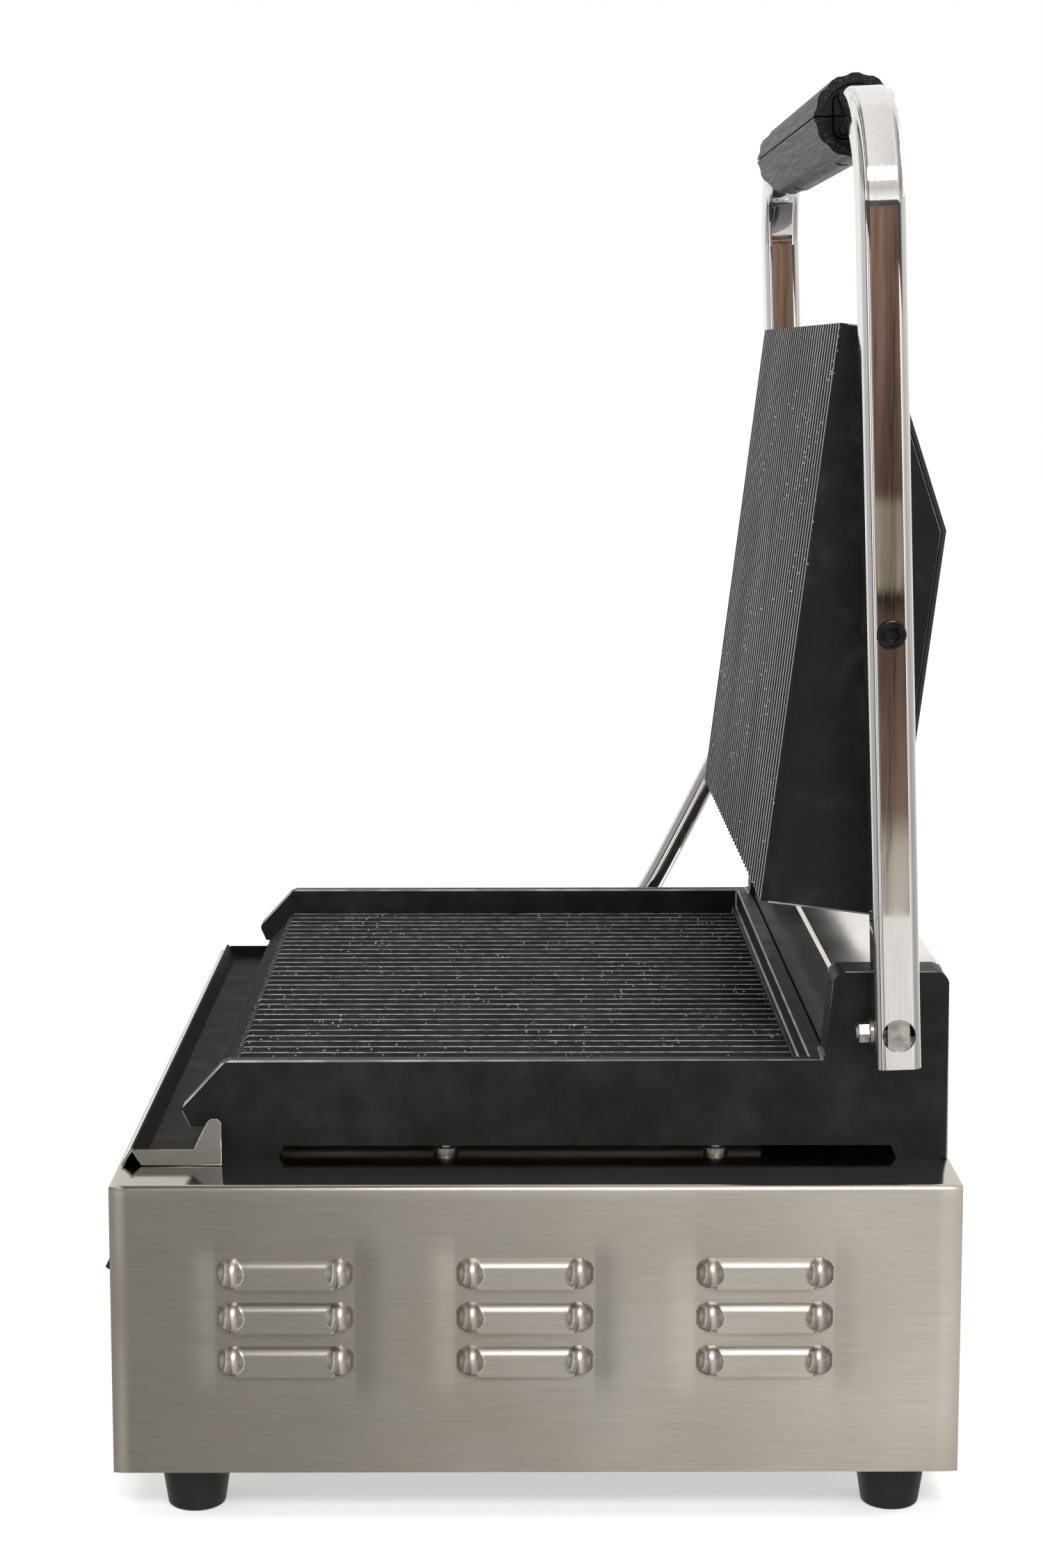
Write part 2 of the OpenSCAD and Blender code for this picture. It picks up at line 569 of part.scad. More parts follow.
// One fluted half shell of the grip: the upper where s is 1, the lower where it is -1
module grip_shell(s) arm_frame() translate([0, 0, arm_l]) rotate([0, 90, 0]) rotate(90) difference() {
  intersection() {
    translate([0, 0, -grip_l / 2]) linear_extrude(grip_l) difference() {
      circle(d = grip_d, $fn = 96);
      for (a = [15 : 30 : 345]) rotate(a) translate([grip_d / 2 + 8.4, 0]) circle(9);
    }
    translate([-grip_d, s > 0 ? gap : -grip_d - gap, -grip_l]) cube([2 * grip_d, grip_d, 2 * grip_l]);
  }
  translate([0, 0, -grip_l]) linear_extrude(2 * grip_l) round_square(tube_w + 2 * gap, 3.6);
  for (e = [-1, 1]) translate([0, 0, e * grip_l / 2]) cylinder(h = 5, d = 24, center = true);
  for (e = [-1, 1]) translate([0, s * grip_d / 2, e * 80]) rotate([90, 0, 0]) cylinder(h = 5, d = 7, center = true);
  for (e = [-1, 1]) translate([0, s * grip_d / 2, e * 80]) rotate([90, 0, 0]) cylinder(h = 20, d = 3.4, center = true);
}

module grip_lower_shell() color([0.13, 0.12, 0.12]) grip_shell(-1);
module grip_upper_shell() color([0.13, 0.12, 0.12]) grip_shell(1);

module grip_screws() color(bright) arm_frame() translate([0, 0, arm_l]) for (e = [-1, 1], s = [-1, 1])
  translate([e * 80, 0, s * (grip_d / 2 - 2.5)]) rotate([s > 0 ? 0 : 180, 0, 0]) pan_screw(6, 1.6, 3, 4.6);

// One clamp bolt in front of each arm, with its nut and washer, reaching into the shaft
module clamp_bolts() color(bright) arm_frame() both_sides() translate([arm_x, 0, 0]) {
  translate([0, -tube_w / 2 - 1.5, 0]) rotate([90, 0, 0]) cylinder(h = 4, d = 7 / cos(30), $fn = 6);
  translate([0, -tube_w / 2 - 6.4, 0]) rotate([-90, 0, 0]) cylinder(h = tube_w / 2 + 10, d = 4.9);
}

module clamp_washers() color(bright) arm_frame() both_sides()
  translate([arm_x, -tube_w / 2 - 1.5, 0]) rotate([-90, 0, 0]) difference() {
    cylinder(h = 1.5, d = 9.4);
    translate([0, 0, -1]) cylinder(h = 4, d = 5);
  }

// ---- Upper plate ----

// Places its children in the plate's own frame at the open position: +Y towards the plate's
// rear edge, +Z away from the ribs, origin on the rib tips at the front edge
module plate_frame() translate([0, pivot_y, pivot_z]) rotate([-90 - open_lean, 0, 0])
  translate([0, -pivot_u, -pivot_v]) children();

upper_sides = [[0, 0], [upper_l, 0], [upper_l, upper_h], [cover_bend_u, upper_h], [0, cover_front_v]];
upper_inside = [[6, 10], [upper_l - 6, 10], [upper_l - 6, upper_h + 9], [cover_bend_u + 1, upper_h + 9], [6, 10.2]];

module upper_plate() color(black_iron) plate_frame() difference() {
  intersection() {
    side_profile(upper_sides, -upper_w / 2, upper_w / 2);
    translate([0, upper_l + 1, 0]) rotate([90, 0, 0]) linear_extrude(upper_l + 2) mirror([0, 1]) rib_section(upper_w, 60);
  }
  side_profile(upper_inside, -upper_w / 2 + 6, upper_w / 2 - 6);
  both_sides() translate([upper_w / 2 - 7, pivot_u, pivot_v]) rotate([0, 90, 0]) cylinder(h = 10, d = 8);
}

// The bent sheet cover on the upper plate, sloped at the front and flat behind
module upper_cover() color([0.1, 0.1, 0.1]) plate_frame() difference() {
  slope = (upper_h - cover_front_v) / cover_bend_u;
  side_profile([[0.5, cover_front_v + 0.5 * slope + gap], [cover_bend_u, upper_h + gap], [upper_l, upper_h + gap],
    [upper_l, upper_h + gap + cover_t], [cover_bend_u - 0.6, upper_h + gap + cover_t],
    [0.5, cover_front_v + 0.5 * slope + gap + cover_t * 1.1]], -upper_w / 2, upper_w / 2);
  for (x = [-130, 130], y = [90, 198]) translate([x, y, upper_h - 2]) cylinder(h = 8, d = 4.4);
}

module upper_cover_screws() color(bright) plate_frame() for (x = [-130, 130], y = [90, 198])
  translate([x, y, upper_h + gap + cover_t + eps]) pan_screw(8, 2.4, 4, 8);

module upper_element() color(bright) plate_frame() translate([0, 112, 14.2]) swept_tube(serpentine(200, 140, 4), element_d);
module upper_insulation() color([0.85, 0.83, 0.78]) plate_frame() span([-140, 36, 18.6], [140, 196, 21.6]);
module upper_clamp_plate() color(bright) plate_frame() span([-132, 42, 21.9], [132, 190, 23.4]);

module pivot_bolts() color(black) plate_frame() both_sides() translate([0, pivot_u, pivot_v]) rotate([0, 90, 0]) difference() {
  union() {
    translate([0, 0, upper_w / 2 - 12]) cylinder(h = arm_x + tube_w / 2 - tube_t - upper_w / 2 + 12, d = 7.98);
    translate([0, 0, arm_x + tube_w / 2 - tube_t - eps]) cylinder(h = 3.2, d = 10);
    translate([0, 0, upper_w / 2 - 12]) cylinder(h = 5, d = 13 / cos(30), $fn = 6);
  }
  translate([0, 0, arm_x + tube_w / 2 - tube_t + 0.8]) cylinder(h = 4, d = 5 / cos(30), $fn = 6);
}

module pivot_spacers() color(bright) plate_frame() both_sides() translate([upper_w / 2 + eps, pivot_u, pivot_v])
  rotate([0, 90, 0]) difference() {
    cylinder(h = arm_x - tube_w / 2 - upper_w / 2 - gap, d = 14);
    translate([0, 0, -1]) cylinder(h = 30, d = 8);
  }

casing_wrap();
front_panel();
rear_panel();
base_plate();
rubber_feet();
foot_screws();
panel_screws();
lower_plate();
plate_bolts();
lower_element();
lower_insulation();
lower_clamp_plate();
rear_cover();
cover_screws();
shaft_bushes();
torsion_springs();
spring_bracket();
drip_tray();
thermostat_body();
thermostat_spindle();
thermostat_knob();
capillary_bulb();
switch_housing();
switch_rocker();
lamp_bezels();
lamp_lenses();
terminal_block();
cable_gland();
conduit_gland();
lead_conduit();
handle_tube();
hinge_shaft();
grip_lower_shell();
grip_upper_shell();
grip_screws();
clamp_bolts();
clamp_washers();
conduit_clip();
lead_tail();
upper_plate();
upper_cover();
upper_cover_screws();
upper_element();
upper_insulation();
upper_clamp_plate();
pivot_bolts();
pivot_spacers();
lead_entry();
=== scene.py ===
import json
import math

import bmesh
import bpy
from mathutils import Matrix, Vector


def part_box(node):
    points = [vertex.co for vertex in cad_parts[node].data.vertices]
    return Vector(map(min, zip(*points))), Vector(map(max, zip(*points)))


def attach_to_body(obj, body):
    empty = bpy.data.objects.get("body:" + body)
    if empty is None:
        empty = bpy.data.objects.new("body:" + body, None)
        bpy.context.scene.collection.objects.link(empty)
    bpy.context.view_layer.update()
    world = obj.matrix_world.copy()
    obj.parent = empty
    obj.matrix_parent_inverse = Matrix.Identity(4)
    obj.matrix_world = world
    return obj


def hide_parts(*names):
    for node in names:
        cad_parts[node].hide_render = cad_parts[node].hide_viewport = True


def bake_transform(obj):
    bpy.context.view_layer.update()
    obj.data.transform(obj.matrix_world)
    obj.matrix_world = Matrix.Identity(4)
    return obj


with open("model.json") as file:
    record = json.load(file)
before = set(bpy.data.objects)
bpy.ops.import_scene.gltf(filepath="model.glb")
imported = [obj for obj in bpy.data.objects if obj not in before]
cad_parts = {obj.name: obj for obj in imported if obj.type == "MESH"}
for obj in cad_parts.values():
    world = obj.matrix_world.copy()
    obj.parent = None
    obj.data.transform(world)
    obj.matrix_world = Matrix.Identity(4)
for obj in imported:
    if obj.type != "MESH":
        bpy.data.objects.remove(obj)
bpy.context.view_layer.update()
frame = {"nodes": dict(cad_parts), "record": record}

bl_info = {
    "name": "Countertop Panini Press",
    "version": (1, 0, 0),
    "blender": (4, 5, 0),
    "location": "View3D > Sidebar > Press",
    "description": "Builds the visible pieces, finishes and studio of a single contact grill",
    "category": "Object",
}

MM = 0.001
# Where the lid's pivot bolts lie, and how far the open lid leans back
PIVOT = Vector((0.0, 0.12520, 0.32219))
LID_LEAN = math.radians(7.1)
# Where the camera stands, and how far it looks down and to the side
EYE = (1.186, -0.010, 0.420)
PITCH, YAW = math.radians(7.65), math.radians(-0.28)
# Radius of the casing's top bends
BEND = 2 * MM
# The louvres: heights of the slits below the casing's top, their spacing, and their centres along Y
TOP_SLIT, SLIT_STEP, SLITS = 37.4 * MM, 16.2 * MM, 3
LOUVRE_CENTRES = (-90 * MM, -4 * MM, 82 * MM)


# ---------------------------------------------------------------- sizes and colours

def length_property(name, description, default, low, high):
    """A size in metres between two limits"""
    return bpy.props.FloatProperty(
        name=name, description=description, default=default, min=low, max=high, unit="LENGTH")


class PressSizes(bpy.types.PropertyGroup):
    """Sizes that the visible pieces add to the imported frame"""

    casing_width: length_property("Casing width", "Width of the bent steel casing", 0.410, 0.36, 0.46)
    casing_depth: length_property("Casing depth", "Depth of the bent steel casing", 0.305, 0.29, 0.33)
    casing_top: length_property("Casing top", "Height of the casing's top sheet", 0.1266, 0.11, 0.14)
    casing_foot: length_property("Casing underside", "Height of the casing's lower edge", 0.020, 0.012, 0.03)
    sheet: length_property("Sheet", "Thickness of the stainless sheet", 0.0012, 0.0008, 0.0016)
    louvre_out: length_property("Louvre depth", "How far a louvre stands out of the side", 0.0045, 0.003, 0.006)
    louvre_length: length_property("Louvre length", "Length of a louvre along the side", 0.049, 0.036, 0.06)
    louvre_height: length_property("Louvre height", "Height of a louvre above its slit", 0.0105, 0.008, 0.012)
    casting_round: length_property("Casting edge radius", "Rounding of castings' edges", 0.0007, 0.0003, 0.002)
    sheet_round: length_property("Sheet edge radius", "Rounding of cut sheet edges", 0.00035, 0.0001, 0.0006)
    conduit_bore: length_property("Conduit diameter", "Outer diameter of the conduit", 0.011, 0.008, 0.013)


def linear(hex_value):
    """An sRGB hex value as linear red, green and blue"""
    values = [int(hex_value[i:i + 2], 16) / 255 for i in (1, 3, 5)]
    return tuple(v / 12.92 if v <= 0.04045 else ((v + 0.055) / 1.055) ** 2.4 for v in values)


def colour_property(name, description, hex_value):
    """A colour that a user may change"""
    return bpy.props.FloatVectorProperty(
        name=name, description=description, default=linear(hex_value), size=3,
        min=0.0, max=1.0, subtype="COLOR")


class PressColours(bpy.types.PropertyGroup):
    """Base colours of the finishes"""

    stainless: colour_property("Stainless", "Brushed stainless sheet", "#BAB6AF")
    chrome: colour_property("Chrome", "Chromium plate on the handle tube", "#E4E3E2")
    casting: colour_property("Casting", "Black enamel on the castings", "#1B1B1C")
    cover: colour_property("Lid cover", "Powder coat on the lid's sheet cover", "#0E0E0F")
    phenolic: colour_property("Grip", "Moulded phenolic of the grip", "#161514")
    rubber: colour_property("Rubber", "Moulded rubber feet", "#0D0D0D")
    zinc: colour_property("Zinc", "Zinc plate on the fixings", "#BFBEBA")
    oxide: colour_property("Black oxide", "Black oxide on the socket screws", "#151516")
    nylon: colour_property("Nylon", "Moulded nylon of the knob, gland and switch", "#121213")
    floor: colour_property("Floor", "Pale studio floor", "#F4F4F3")


# ---------------------------------------------------------------- small helpers

def rgba(colour):
    """An sRGB hex value or a linear colour, with full alpha"""
    return (*(linear(colour) if isinstance(colour, str) else colour), 1.0)


def sizes():
    return bpy.context.scene.press_sizes


def colours():
    return bpy.context.scene.press_colours


def nothing_selected():
    if bpy.context.mode != "OBJECT":
        bpy.ops.object.mode_set(mode="OBJECT")
    bpy.ops.object.select_all(action="DESELECT")


def select_only(piece):
    nothing_selected()
    piece.select_set(True)
    bpy.context.view_layer.objects.active = piece


def named(name):
    """The primitive just added, renamed"""
    piece = bpy.context.object
    piece.name = piece.data.name = name
    return piece


def pick(piece, kind, test):
    """Opens edit mode with only the edges or faces that pass the test selected"""
    select_only(piece)
    bpy.ops.object.mode_set(mode="EDIT")
    bpy.ops.mesh.select_mode(type=kind)
    bpy.ops.mesh.select_all(action="DESELECT")
    shell = bmesh.from_edit_mesh(piece.data)
    chosen = [part for part in (shell.edges if kind == "EDGE" else shell.faces) if test(part)]
    if not chosen:
        raise RuntimeError(piece.name + ": nothing to select")
    for part in chosen:
        part.select_set(True)
    shell.select_flush_mode()
    bmesh.update_edit_mesh(piece.data)


def leave_edit():
    bpy.ops.object.mode_set(mode="OBJECT")


def modify(piece, kind, **settings):
    """Adds a modifier with its settings and applies it"""
    select_only(piece)
    modifier = piece.modifiers.new(kind.title(), kind)
    for name, value in settings.items():
        setattr(modifier, name, value)
    bpy.ops.object.modifier_apply(modifier=modifier.name)


def settle(piece):
    """Moves the place of a piece into its mesh"""
    select_only(piece)
    bpy.ops.object.transform_apply(location=True, rotation=True, scale=True)


def smooth(piece, degrees=35, weighted=True):
    """Smooth shading between faces that meet at less than an angle, flats kept flat"""
    select_only(piece)
    bpy.ops.object.shade_smooth_by_angle(angle=math.radians(degrees))
    if weighted:
        modify(piece, "WEIGHTED_NORMAL", keep_sharp=True, weight=60)


def outwards(piece):
    """Merges doubled points, then turns every face outwards"""
    select_only(piece)
    bpy.ops.object.mode_set(mode="EDIT")
    bpy.ops.mesh.select_all(action="SELECT")
    bpy.ops.mesh.remove_doubles(threshold=0.00001)
    bpy.ops.mesh.normals_make_consistent(inside=False)
    leave_edit()


def attach(piece, body, look, stands_for=(), edge=None):
    """Gives a piece its finish, its body and the nodes it stands for"""
    kept = [polygon.material_index for polygon in piece.data.polygons]
    piece.data.materials.clear()
    piece.data.materials.append(finish(look))
    if edge:
        piece.data.materials.append(finish(edge))
        piece.data.polygons.foreach_set("material_index", kept)
    if body:
        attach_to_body(piece, body)
    if stands_for:
        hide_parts(*stands_for)
    return piece


def body_of(node):
    """The body that a node moves with"""
    bodies = frame["record"]["behaviour"]["bodies"]
    return next(body for body, members in bodies.items() if node in members)


def repaint(look, *nodes):
    """Gives nodes that stay as they are a finish"""
    for name in nodes:
        node = frame["nodes"][name]
        for slot in node.material_slots:
            slot.material = finish(look)


def rounded_copy(node, name, width, segments=2, sharp=28.0, shortest=0.0, degrees=40, test=None, edge=None):
    """A merged copy of a CAD node with its sharp edges rounded, and its edge faces in a finish of their own"""
    mesh = frame["nodes"][node].data.copy()
    piece = bpy.data.objects.new(name, mesh)
    mesh.name = name
    bpy.context.collection.objects.link(piece)
    if edge:
        mesh.materials.append(None)
    select_only(piece)
    bpy.ops.object.mode_set(mode="EDIT")
    bpy.ops.mesh.select_all(action="SELECT")
    bpy.ops.mesh.remove_doubles(threshold=0.000005)
    bpy.ops.mesh.customdata_custom_splitnormals_clear()
    bpy.ops.mesh.dissolve_limited(angle_limit=math.radians(0.4))
    leave_edit()
    if width > 0:
        limit = math.radians(sharp)

        def corner(edge):
            if not edge.is_manifold or edge.calc_length() < shortest:
                return False
            if edge.calc_face_angle(0.0) < limit:
                return False
            return test is None or test(edge)

        pick(piece, "EDGE", corner)
        bpy.ops.mesh.bevel(offset=width, segments=segments, affect="EDGES", clamp_overlap=not edge,
                           material=1 if edge else -1)
        leave_edit()
    smooth(piece, degrees)
    return piece


# ---------------------------------------------------------------- finishes

def wire(tree, node, links):
    """Fills a node's sockets: a node or a socket is linked, and anything else is a value"""
    for key, value in links.items():
        if isinstance(value, bpy.types.Node):
            value = value.outputs[0]
        if isinstance(value, bpy.types.NodeSocket):
            tree.links.new(value, node.inputs[key])
        else:
            node.inputs[key].default_value = value


def add(tree, kind, links=None, stops=(), **settings):
    """Adds a shader node with its settings, its colour stops, its values and its links"""
    node = tree.nodes.new("ShaderNode" + kind)
    for name, value in settings.items():
        setattr(node, name, value)
    if stops:
        elements = node.color_ramp.elements
        while len(elements) < len(stops):
            elements.new(0.5)
        for element, (position, colour) in zip(elements, stops):
            element.position, element.color = position, rgba(colour)
    wire(tree, node, links or {})
    return node


def finish_base(name, colour, **values):
    """A new material with its shader, object coordinates and whole-surface values"""
    material = bpy.data.materials.new(name)
    material.use_nodes = True
    tree = material.node_tree
    shader = tree.nodes["Principled BSDF"]
    material.diffuse_color = rgba(colour)
    wire(tree, shader, {key.replace("_", " "): value for key, value in values.items()})
    shader.inputs["Base Color"].default_value = rgba(colour)
    return material, tree, shader, add(tree, "TexCoord").outputs["Object"]


def limits(low, high, out_low=0.0, out_high=1.0):
    """The four ends of a mapped range"""
    return {"From Min": low, "From Max": high, "To Min": out_low, "To Max": out_high}


def per_metre(size, *stretch):
    """Pattern scale for features of a size in millimetres, stretched along the axes"""
    return tuple(1 / (size * MM * s) for s in stretch)


def brushed_stainless(name, along, colour, roughness=0.3, wiped_above=None):
    """Cold-rolled 304 sheet with a long-line brushed face. The grain draws reflections out
    across itself into soft bands, and finger-dulled areas show as cloudy warm patches."""
    material, tree, shader, place = finish_base(
        name, colour, Metallic=1.0, Roughness=roughness, Anisotropic=0.75,
        Anisotropic_Rotation=0.0 if along == "Y" else 0.25)
    if along == "Y":
        wire(tree, shader, {"Tangent": add(tree, "Tangent", direction_type="UV_MAP", uv_map="grain")})
    # Brushing lines are about 0.1 mm apart; drawn at 0.35 mm so that they still show
    scale = per_metre(0.35, *{"X": (60, 1, 1), "Y": (1, 60, 1)}[along])
    lines = add(tree, "TexNoise", {
        "Vector": add(tree, "Mapping", {"Vector": place, "Scale": scale}), "Scale": 1.0, "Detail": 2.0})
    # Cloudy patches 55 mm across from handling and passivation
    clouds = add(tree, "TexNoise", {"Vector": place, "Scale": 1 / (55 * MM), "Detail": 1.0, "Roughness": 0.4})
    tint = add(tree, "ValToRGB", {"Fac": lines}, [
        (0.30, colour), (0.70, [min(1.0, v * 1.16) for v in rgba(colour)[:3]])])
    warm = add(tree, "ValToRGB", {"Fac": clouds}, [(0.30, "#E9E6E2"), (0.70, "#FFFFFF")])
    base = add(tree, "Mix", {0: 1.0, 6: tint, 7: warm}, data_type="RGBA", blend_type="MULTIPLY")
    gloss = add(tree, "MapRange", {"Value": clouds, **limits(0.2, 0.8, roughness + 0.07, roughness - 0.05)})
    if wiped_above:
        # The flat top has been wiped smooth, so it mirrors what stands on it
        high = add(tree, "SeparateXYZ", {"Vector": place}).outputs["Z"]
        keep = add(tree, "MapRange", {"Value": high, **limits(wiped_above, wiped_above + 0.0008, 1.0, 0.42)})
        gloss = add(tree, "Math", {0: gloss, 1: keep}, operation="MULTIPLY")
    grain = add(tree, "Bump", {"Height": lines, "Distance": 0.004 * MM, "Strength": 0.6})
    # Sheet metal is never quite flat: waves 80 mm long and a few tenths high
    sway = add(tree, "TexNoise", {"Vector": place, "Scale": 1 / (80 * MM), "Detail": 1.0})
    waves = add(tree, "Bump", {"Height": sway, "Distance": 0.8 * MM, "Strength": 0.6, "Normal": grain})
    wire(tree, shader, {"Base Color": base.outputs[2], "Roughness": gloss, "Normal": waves})
    return material


def chrome_plate(name):
    """Bright chromium over buffed mild steel: mirror-sharp reflections with a slight ripple
    left by the buffing wheel, and faint wipe marks along the tube."""
    material, tree, shader, place = finish_base(name, colours().chrome, Metallic=1.0, Roughness=0.04)
    buffed = add(tree, "TexNoise", {
        "Vector": add(tree, "Mapping", {"Vector": place, "Scale": per_metre(14, 1, 1, 3)}),
        "Scale": 1.0, "Detail": 1.5})
    wipes = add(tree, "TexNoise", {
        "Vector": add(tree, "Mapping", {"Vector": place, "Scale": per_metre(0.8, 1, 1, 40)}),
        "Scale": 1.0, "Detail": 2.0})
    wire(tree, shader, {
        "Base Color": add(tree, "ValToRGB", {"Fac": wipes}, [(0.3, "#DADADA"), (0.6, colours().chrome)]),
        "Roughness": add(tree, "MapRange", {"Value": wipes, **limits(0.35, 0.75, 0.02, 0.07)}),
        "Normal": add(tree, "Bump", {"Height": buffed, "Distance": 0.05 * MM, "Strength": 0.6})})
    return material


def cast_enamel(name, colour, ribs):
    """Grey iron castings under a thin satin black enamel. Sand-cast grain shows as a fine
    pebbled sheen; rib crests are painted bright in broken lines, partly rubbed wear and partly
    a painted highlight, with pale specks painted on as glints of light."""
    material, tree, shader, place = finish_base(name, colour, Roughness=0.5, IOR=1.45, Specular_IOR_Level=0.26)
    # Sand grain about 0.7 mm, and slow unevenness about 18 mm across
    sand = add(tree, "TexNoise", {"Vector": place, "Scale": 1 / (0.7 * MM), "Detail": 3.0, "Roughness": 0.6})
    uneven = add(tree, "TexNoise", {"Vector": place, "Scale": 1 / (18 * MM), "Detail": 3.0, "Roughness": 0.55})
    enamel = add(tree, "ValToRGB", {"Fac": uneven}, [(0.36, "#111112"), (0.55, colour), (0.72, "#242425")])

    # The ribs' own frame: X across them, Z up from the plate
    flat = add(tree, "Mapping", {
        "Vector": place, "Location": ribs["origin"], "Rotation": ribs["turn"]}, vector_type="TEXTURE")
    split = add(tree, "SeparateXYZ", {"Vector": flat})
    half = ribs["pitch"] / 2
    start = add(tree, "Math", {0: split.outputs["X"], 1: half}, operation="SUBTRACT")
    off_crest = add(tree, "Math", {0: start, 1: half}, operation="PINGPONG")
    line = add(tree, "MapRange", {
        "Value": off_crest, **limits(ribs["line"], ribs["line"] + 0.45 * MM, 1.0, 0.0)})
    above = add(tree, "Math", {0: split.outputs["Z"], 1: ribs["low"]}, operation="GREATER_THAN")
    below = add(tree, "Math", {0: split.outputs["Z"], 1: ribs["high"]}, operation="LESS_THAN")
    aside = add(tree, "Math", {0: split.outputs["X"]}, operation="ABSOLUTE")
    inside = add(tree, "Math", {0: aside, 1: ribs["half_width"]}, operation="LESS_THAN")
    layer = add(tree, "Math", {0: above, 1: below}, operation="MULTIPLY")
    band = add(tree, "Math", {0: layer, 1: inside}, operation="MULTIPLY")
    crest = add(tree, "Math", {0: line, 1: band}, operation="MULTIPLY")
    # Bright broken stretches along the crests: partly rubbed wear, partly a painted highlight
    crest_breaks = add(tree, "TexNoise", {
        "Vector": add(tree, "Mapping", {"Vector": flat, "Scale": per_metre(ribs["crest_breaks"], 1, 3, 1)}),
        "Scale": 1.0, "Detail": 3.0, "Roughness": 0.6})
    crest_brightness = add(tree, "MapRange", {"Value": crest_breaks, **limits(0.40, 0.60, ribs["dull"], ribs["shine"])})
    crest_wear_and_highlight = add(tree, "Math", {0: crest_brightness, 1: crest}, operation="MULTIPLY")
    # The pale grey laid on the crests is partly rubbed wear and partly a painted highlight
    crests_painted_bright = add(tree, "Mix", {0: crest_wear_and_highlight, 6: enamel, 7: rgba("#C4C4C2")}, data_type="RGBA")
    # Pale specks up to 0.5 mm across, thicker in patches: painted glints of light on the crest layer
    cells = add(tree, "TexVoronoi", {"Vector": place, "Scale": 1 / (2.2 * MM)})
    dots = add(tree, "MapRange", {"Value": cells, **limits(0.13, 0.20, 1.0, 0.0)})
    drift = add(tree, "TexNoise", {"Vector": place, "Scale": 1 / (30 * MM), "Detail": 2.0})
    patch = add(tree, "MapRange", {"Value": drift, **limits(0.46, 0.62, 0.0, 0.8)})
    strewn = add(tree, "Math", {0: dots, 1: patch}, operation="MULTIPLY")
    crest_glints = add(tree, "Math", {0: strewn, 1: band}, operation="MULTIPLY")
    # The pale specks are painted glints where the crests catch the light
    glinted_crests = add(tree, "Mix", {0: crest_glints, 6: crests_painted_bright.outputs[2], 7: rgba("#B8B8B6")}, data_type="RGBA")
    slow = add(tree, "Bump", {"Height": uneven, "Distance": 0.25 * MM, "Strength": 0.5})
    wire(tree, shader, {
        "Base Color": glinted_crests.outputs[2],
        "Roughness": add(tree, "MapRange", {"Value": uneven, **limits(0.3, 0.7, 0.42, 0.58)}),
        "Normal": add(tree, "Bump", {"Height": sand, "Distance": 0.05 * MM, "Strength": 0.7, "Normal": slow})})
    return material


def powder_coat(name):
    """Epoxy powder coat baked on sheet: deep black with an orange-peel skin that breaks up
    highlights into soft mottling."""
    material, tree, shader, place = finish_base(
        name, colours().cover, Roughness=0.38, IOR=1.5, Coat_Weight=0.15, Coat_Roughness=0.2)
    peel = add(tree, "TexNoise", {"Vector": place, "Scale": 1 / (1.6 * MM), "Detail": 2.0})
    dust = add(tree, "TexNoise", {"Vector": place, "Scale": 1 / (22 * MM), "Detail": 4.0})
    wire(tree, shader, {
        "Base Color": add(tree, "ValToRGB", {"Fac": dust}, [(0.4, colours().cover), (0.8, "#1C1C1D")]),
        "Normal": add(tree, "Bump", {"Height": peel, "Distance": 0.06 * MM, "Strength": 0.6})})
    return material


def phenolic_moulding(name):
    """Compression-moulded phenolic with wood-flour streaks, and long pale scuffs that run with
    the length of the grip."""
    material, tree, shader, place = finish_base(
        name, colours().phenolic, Roughness=0.42, IOR=1.55, Specular_IOR_Level=0.2)
    streaks = add(tree, "TexNoise", {
        "Vector": add(tree, "Mapping", {"Vector": place, "Scale": per_metre(1.1, 26, 1, 1)}),
        "Scale": 1.0, "Detail": 4.0, "Roughness": 0.6})
    cloud = add(tree, "TexNoise", {
        "Vector": add(tree, "Mapping", {"Vector": place, "Scale": per_metre(11, 3, 1, 1)}),
        "Scale": 1.0, "Detail": 3.0})
    flour = add(tree, "ValToRGB", {"Fac": streaks}, [
        (0.36, "#060606"), (0.56, colours().phenolic), (0.86, "#6B6865")])
    shade = add(tree, "ValToRGB", {"Fac": cloud}, [(0.3, "#A8A8A8"), (0.7, "#FFFFFF")])
    mottled = add(tree, "Mix", {0: 1.0, 6: flour, 7: shade}, data_type="RGBA", blend_type="MULTIPLY")
    wire(tree, shader, {
        "Base Color": mottled.outputs[2],
        "Roughness": add(tree, "MapRange", {"Value": streaks, **limits(0.3, 0.7, 0.36, 0.54)}),
        "Normal": add(tree, "Bump", {"Height": streaks, "Distance": 0.05 * MM, "Strength": 0.6})})
    return material


def moulded(name, colour, pale, roughness=0.45, grain=0.4, depth=0.03, **values):
    """Moulded plastic or rubber with a fine grain: an even, quiet sheen that greys slightly where
    it has been handled. The same coat gives the tray's painted shade and the castings' painted edge highlight."""
    material, tree, shader, place = finish_base(name, colour, Roughness=roughness, IOR=1.5, **values)
    bloom = add(tree, "TexNoise", {"Vector": place, "Scale": 1 / (14 * MM), "Detail": 4.0})
    eroded = add(tree, "TexNoise", {"Vector": place, "Scale": 1 / (grain * MM), "Detail": 2.0})
    wire(tree, shader, {
        "Base Color": add(tree, "ValToRGB", {"Fac": bloom}, [(0.4, colour), (0.85, pale)]),
        "Roughness": add(tree, "MapRange", {
            "Value": bloom, **limits(0.3, 0.7, roughness - 0.06, roughness + 0.08)}),
        "Normal": add(tree, "Bump", {"Height": eroded, "Distance": depth * MM, "Strength": 0.6})})
    return material


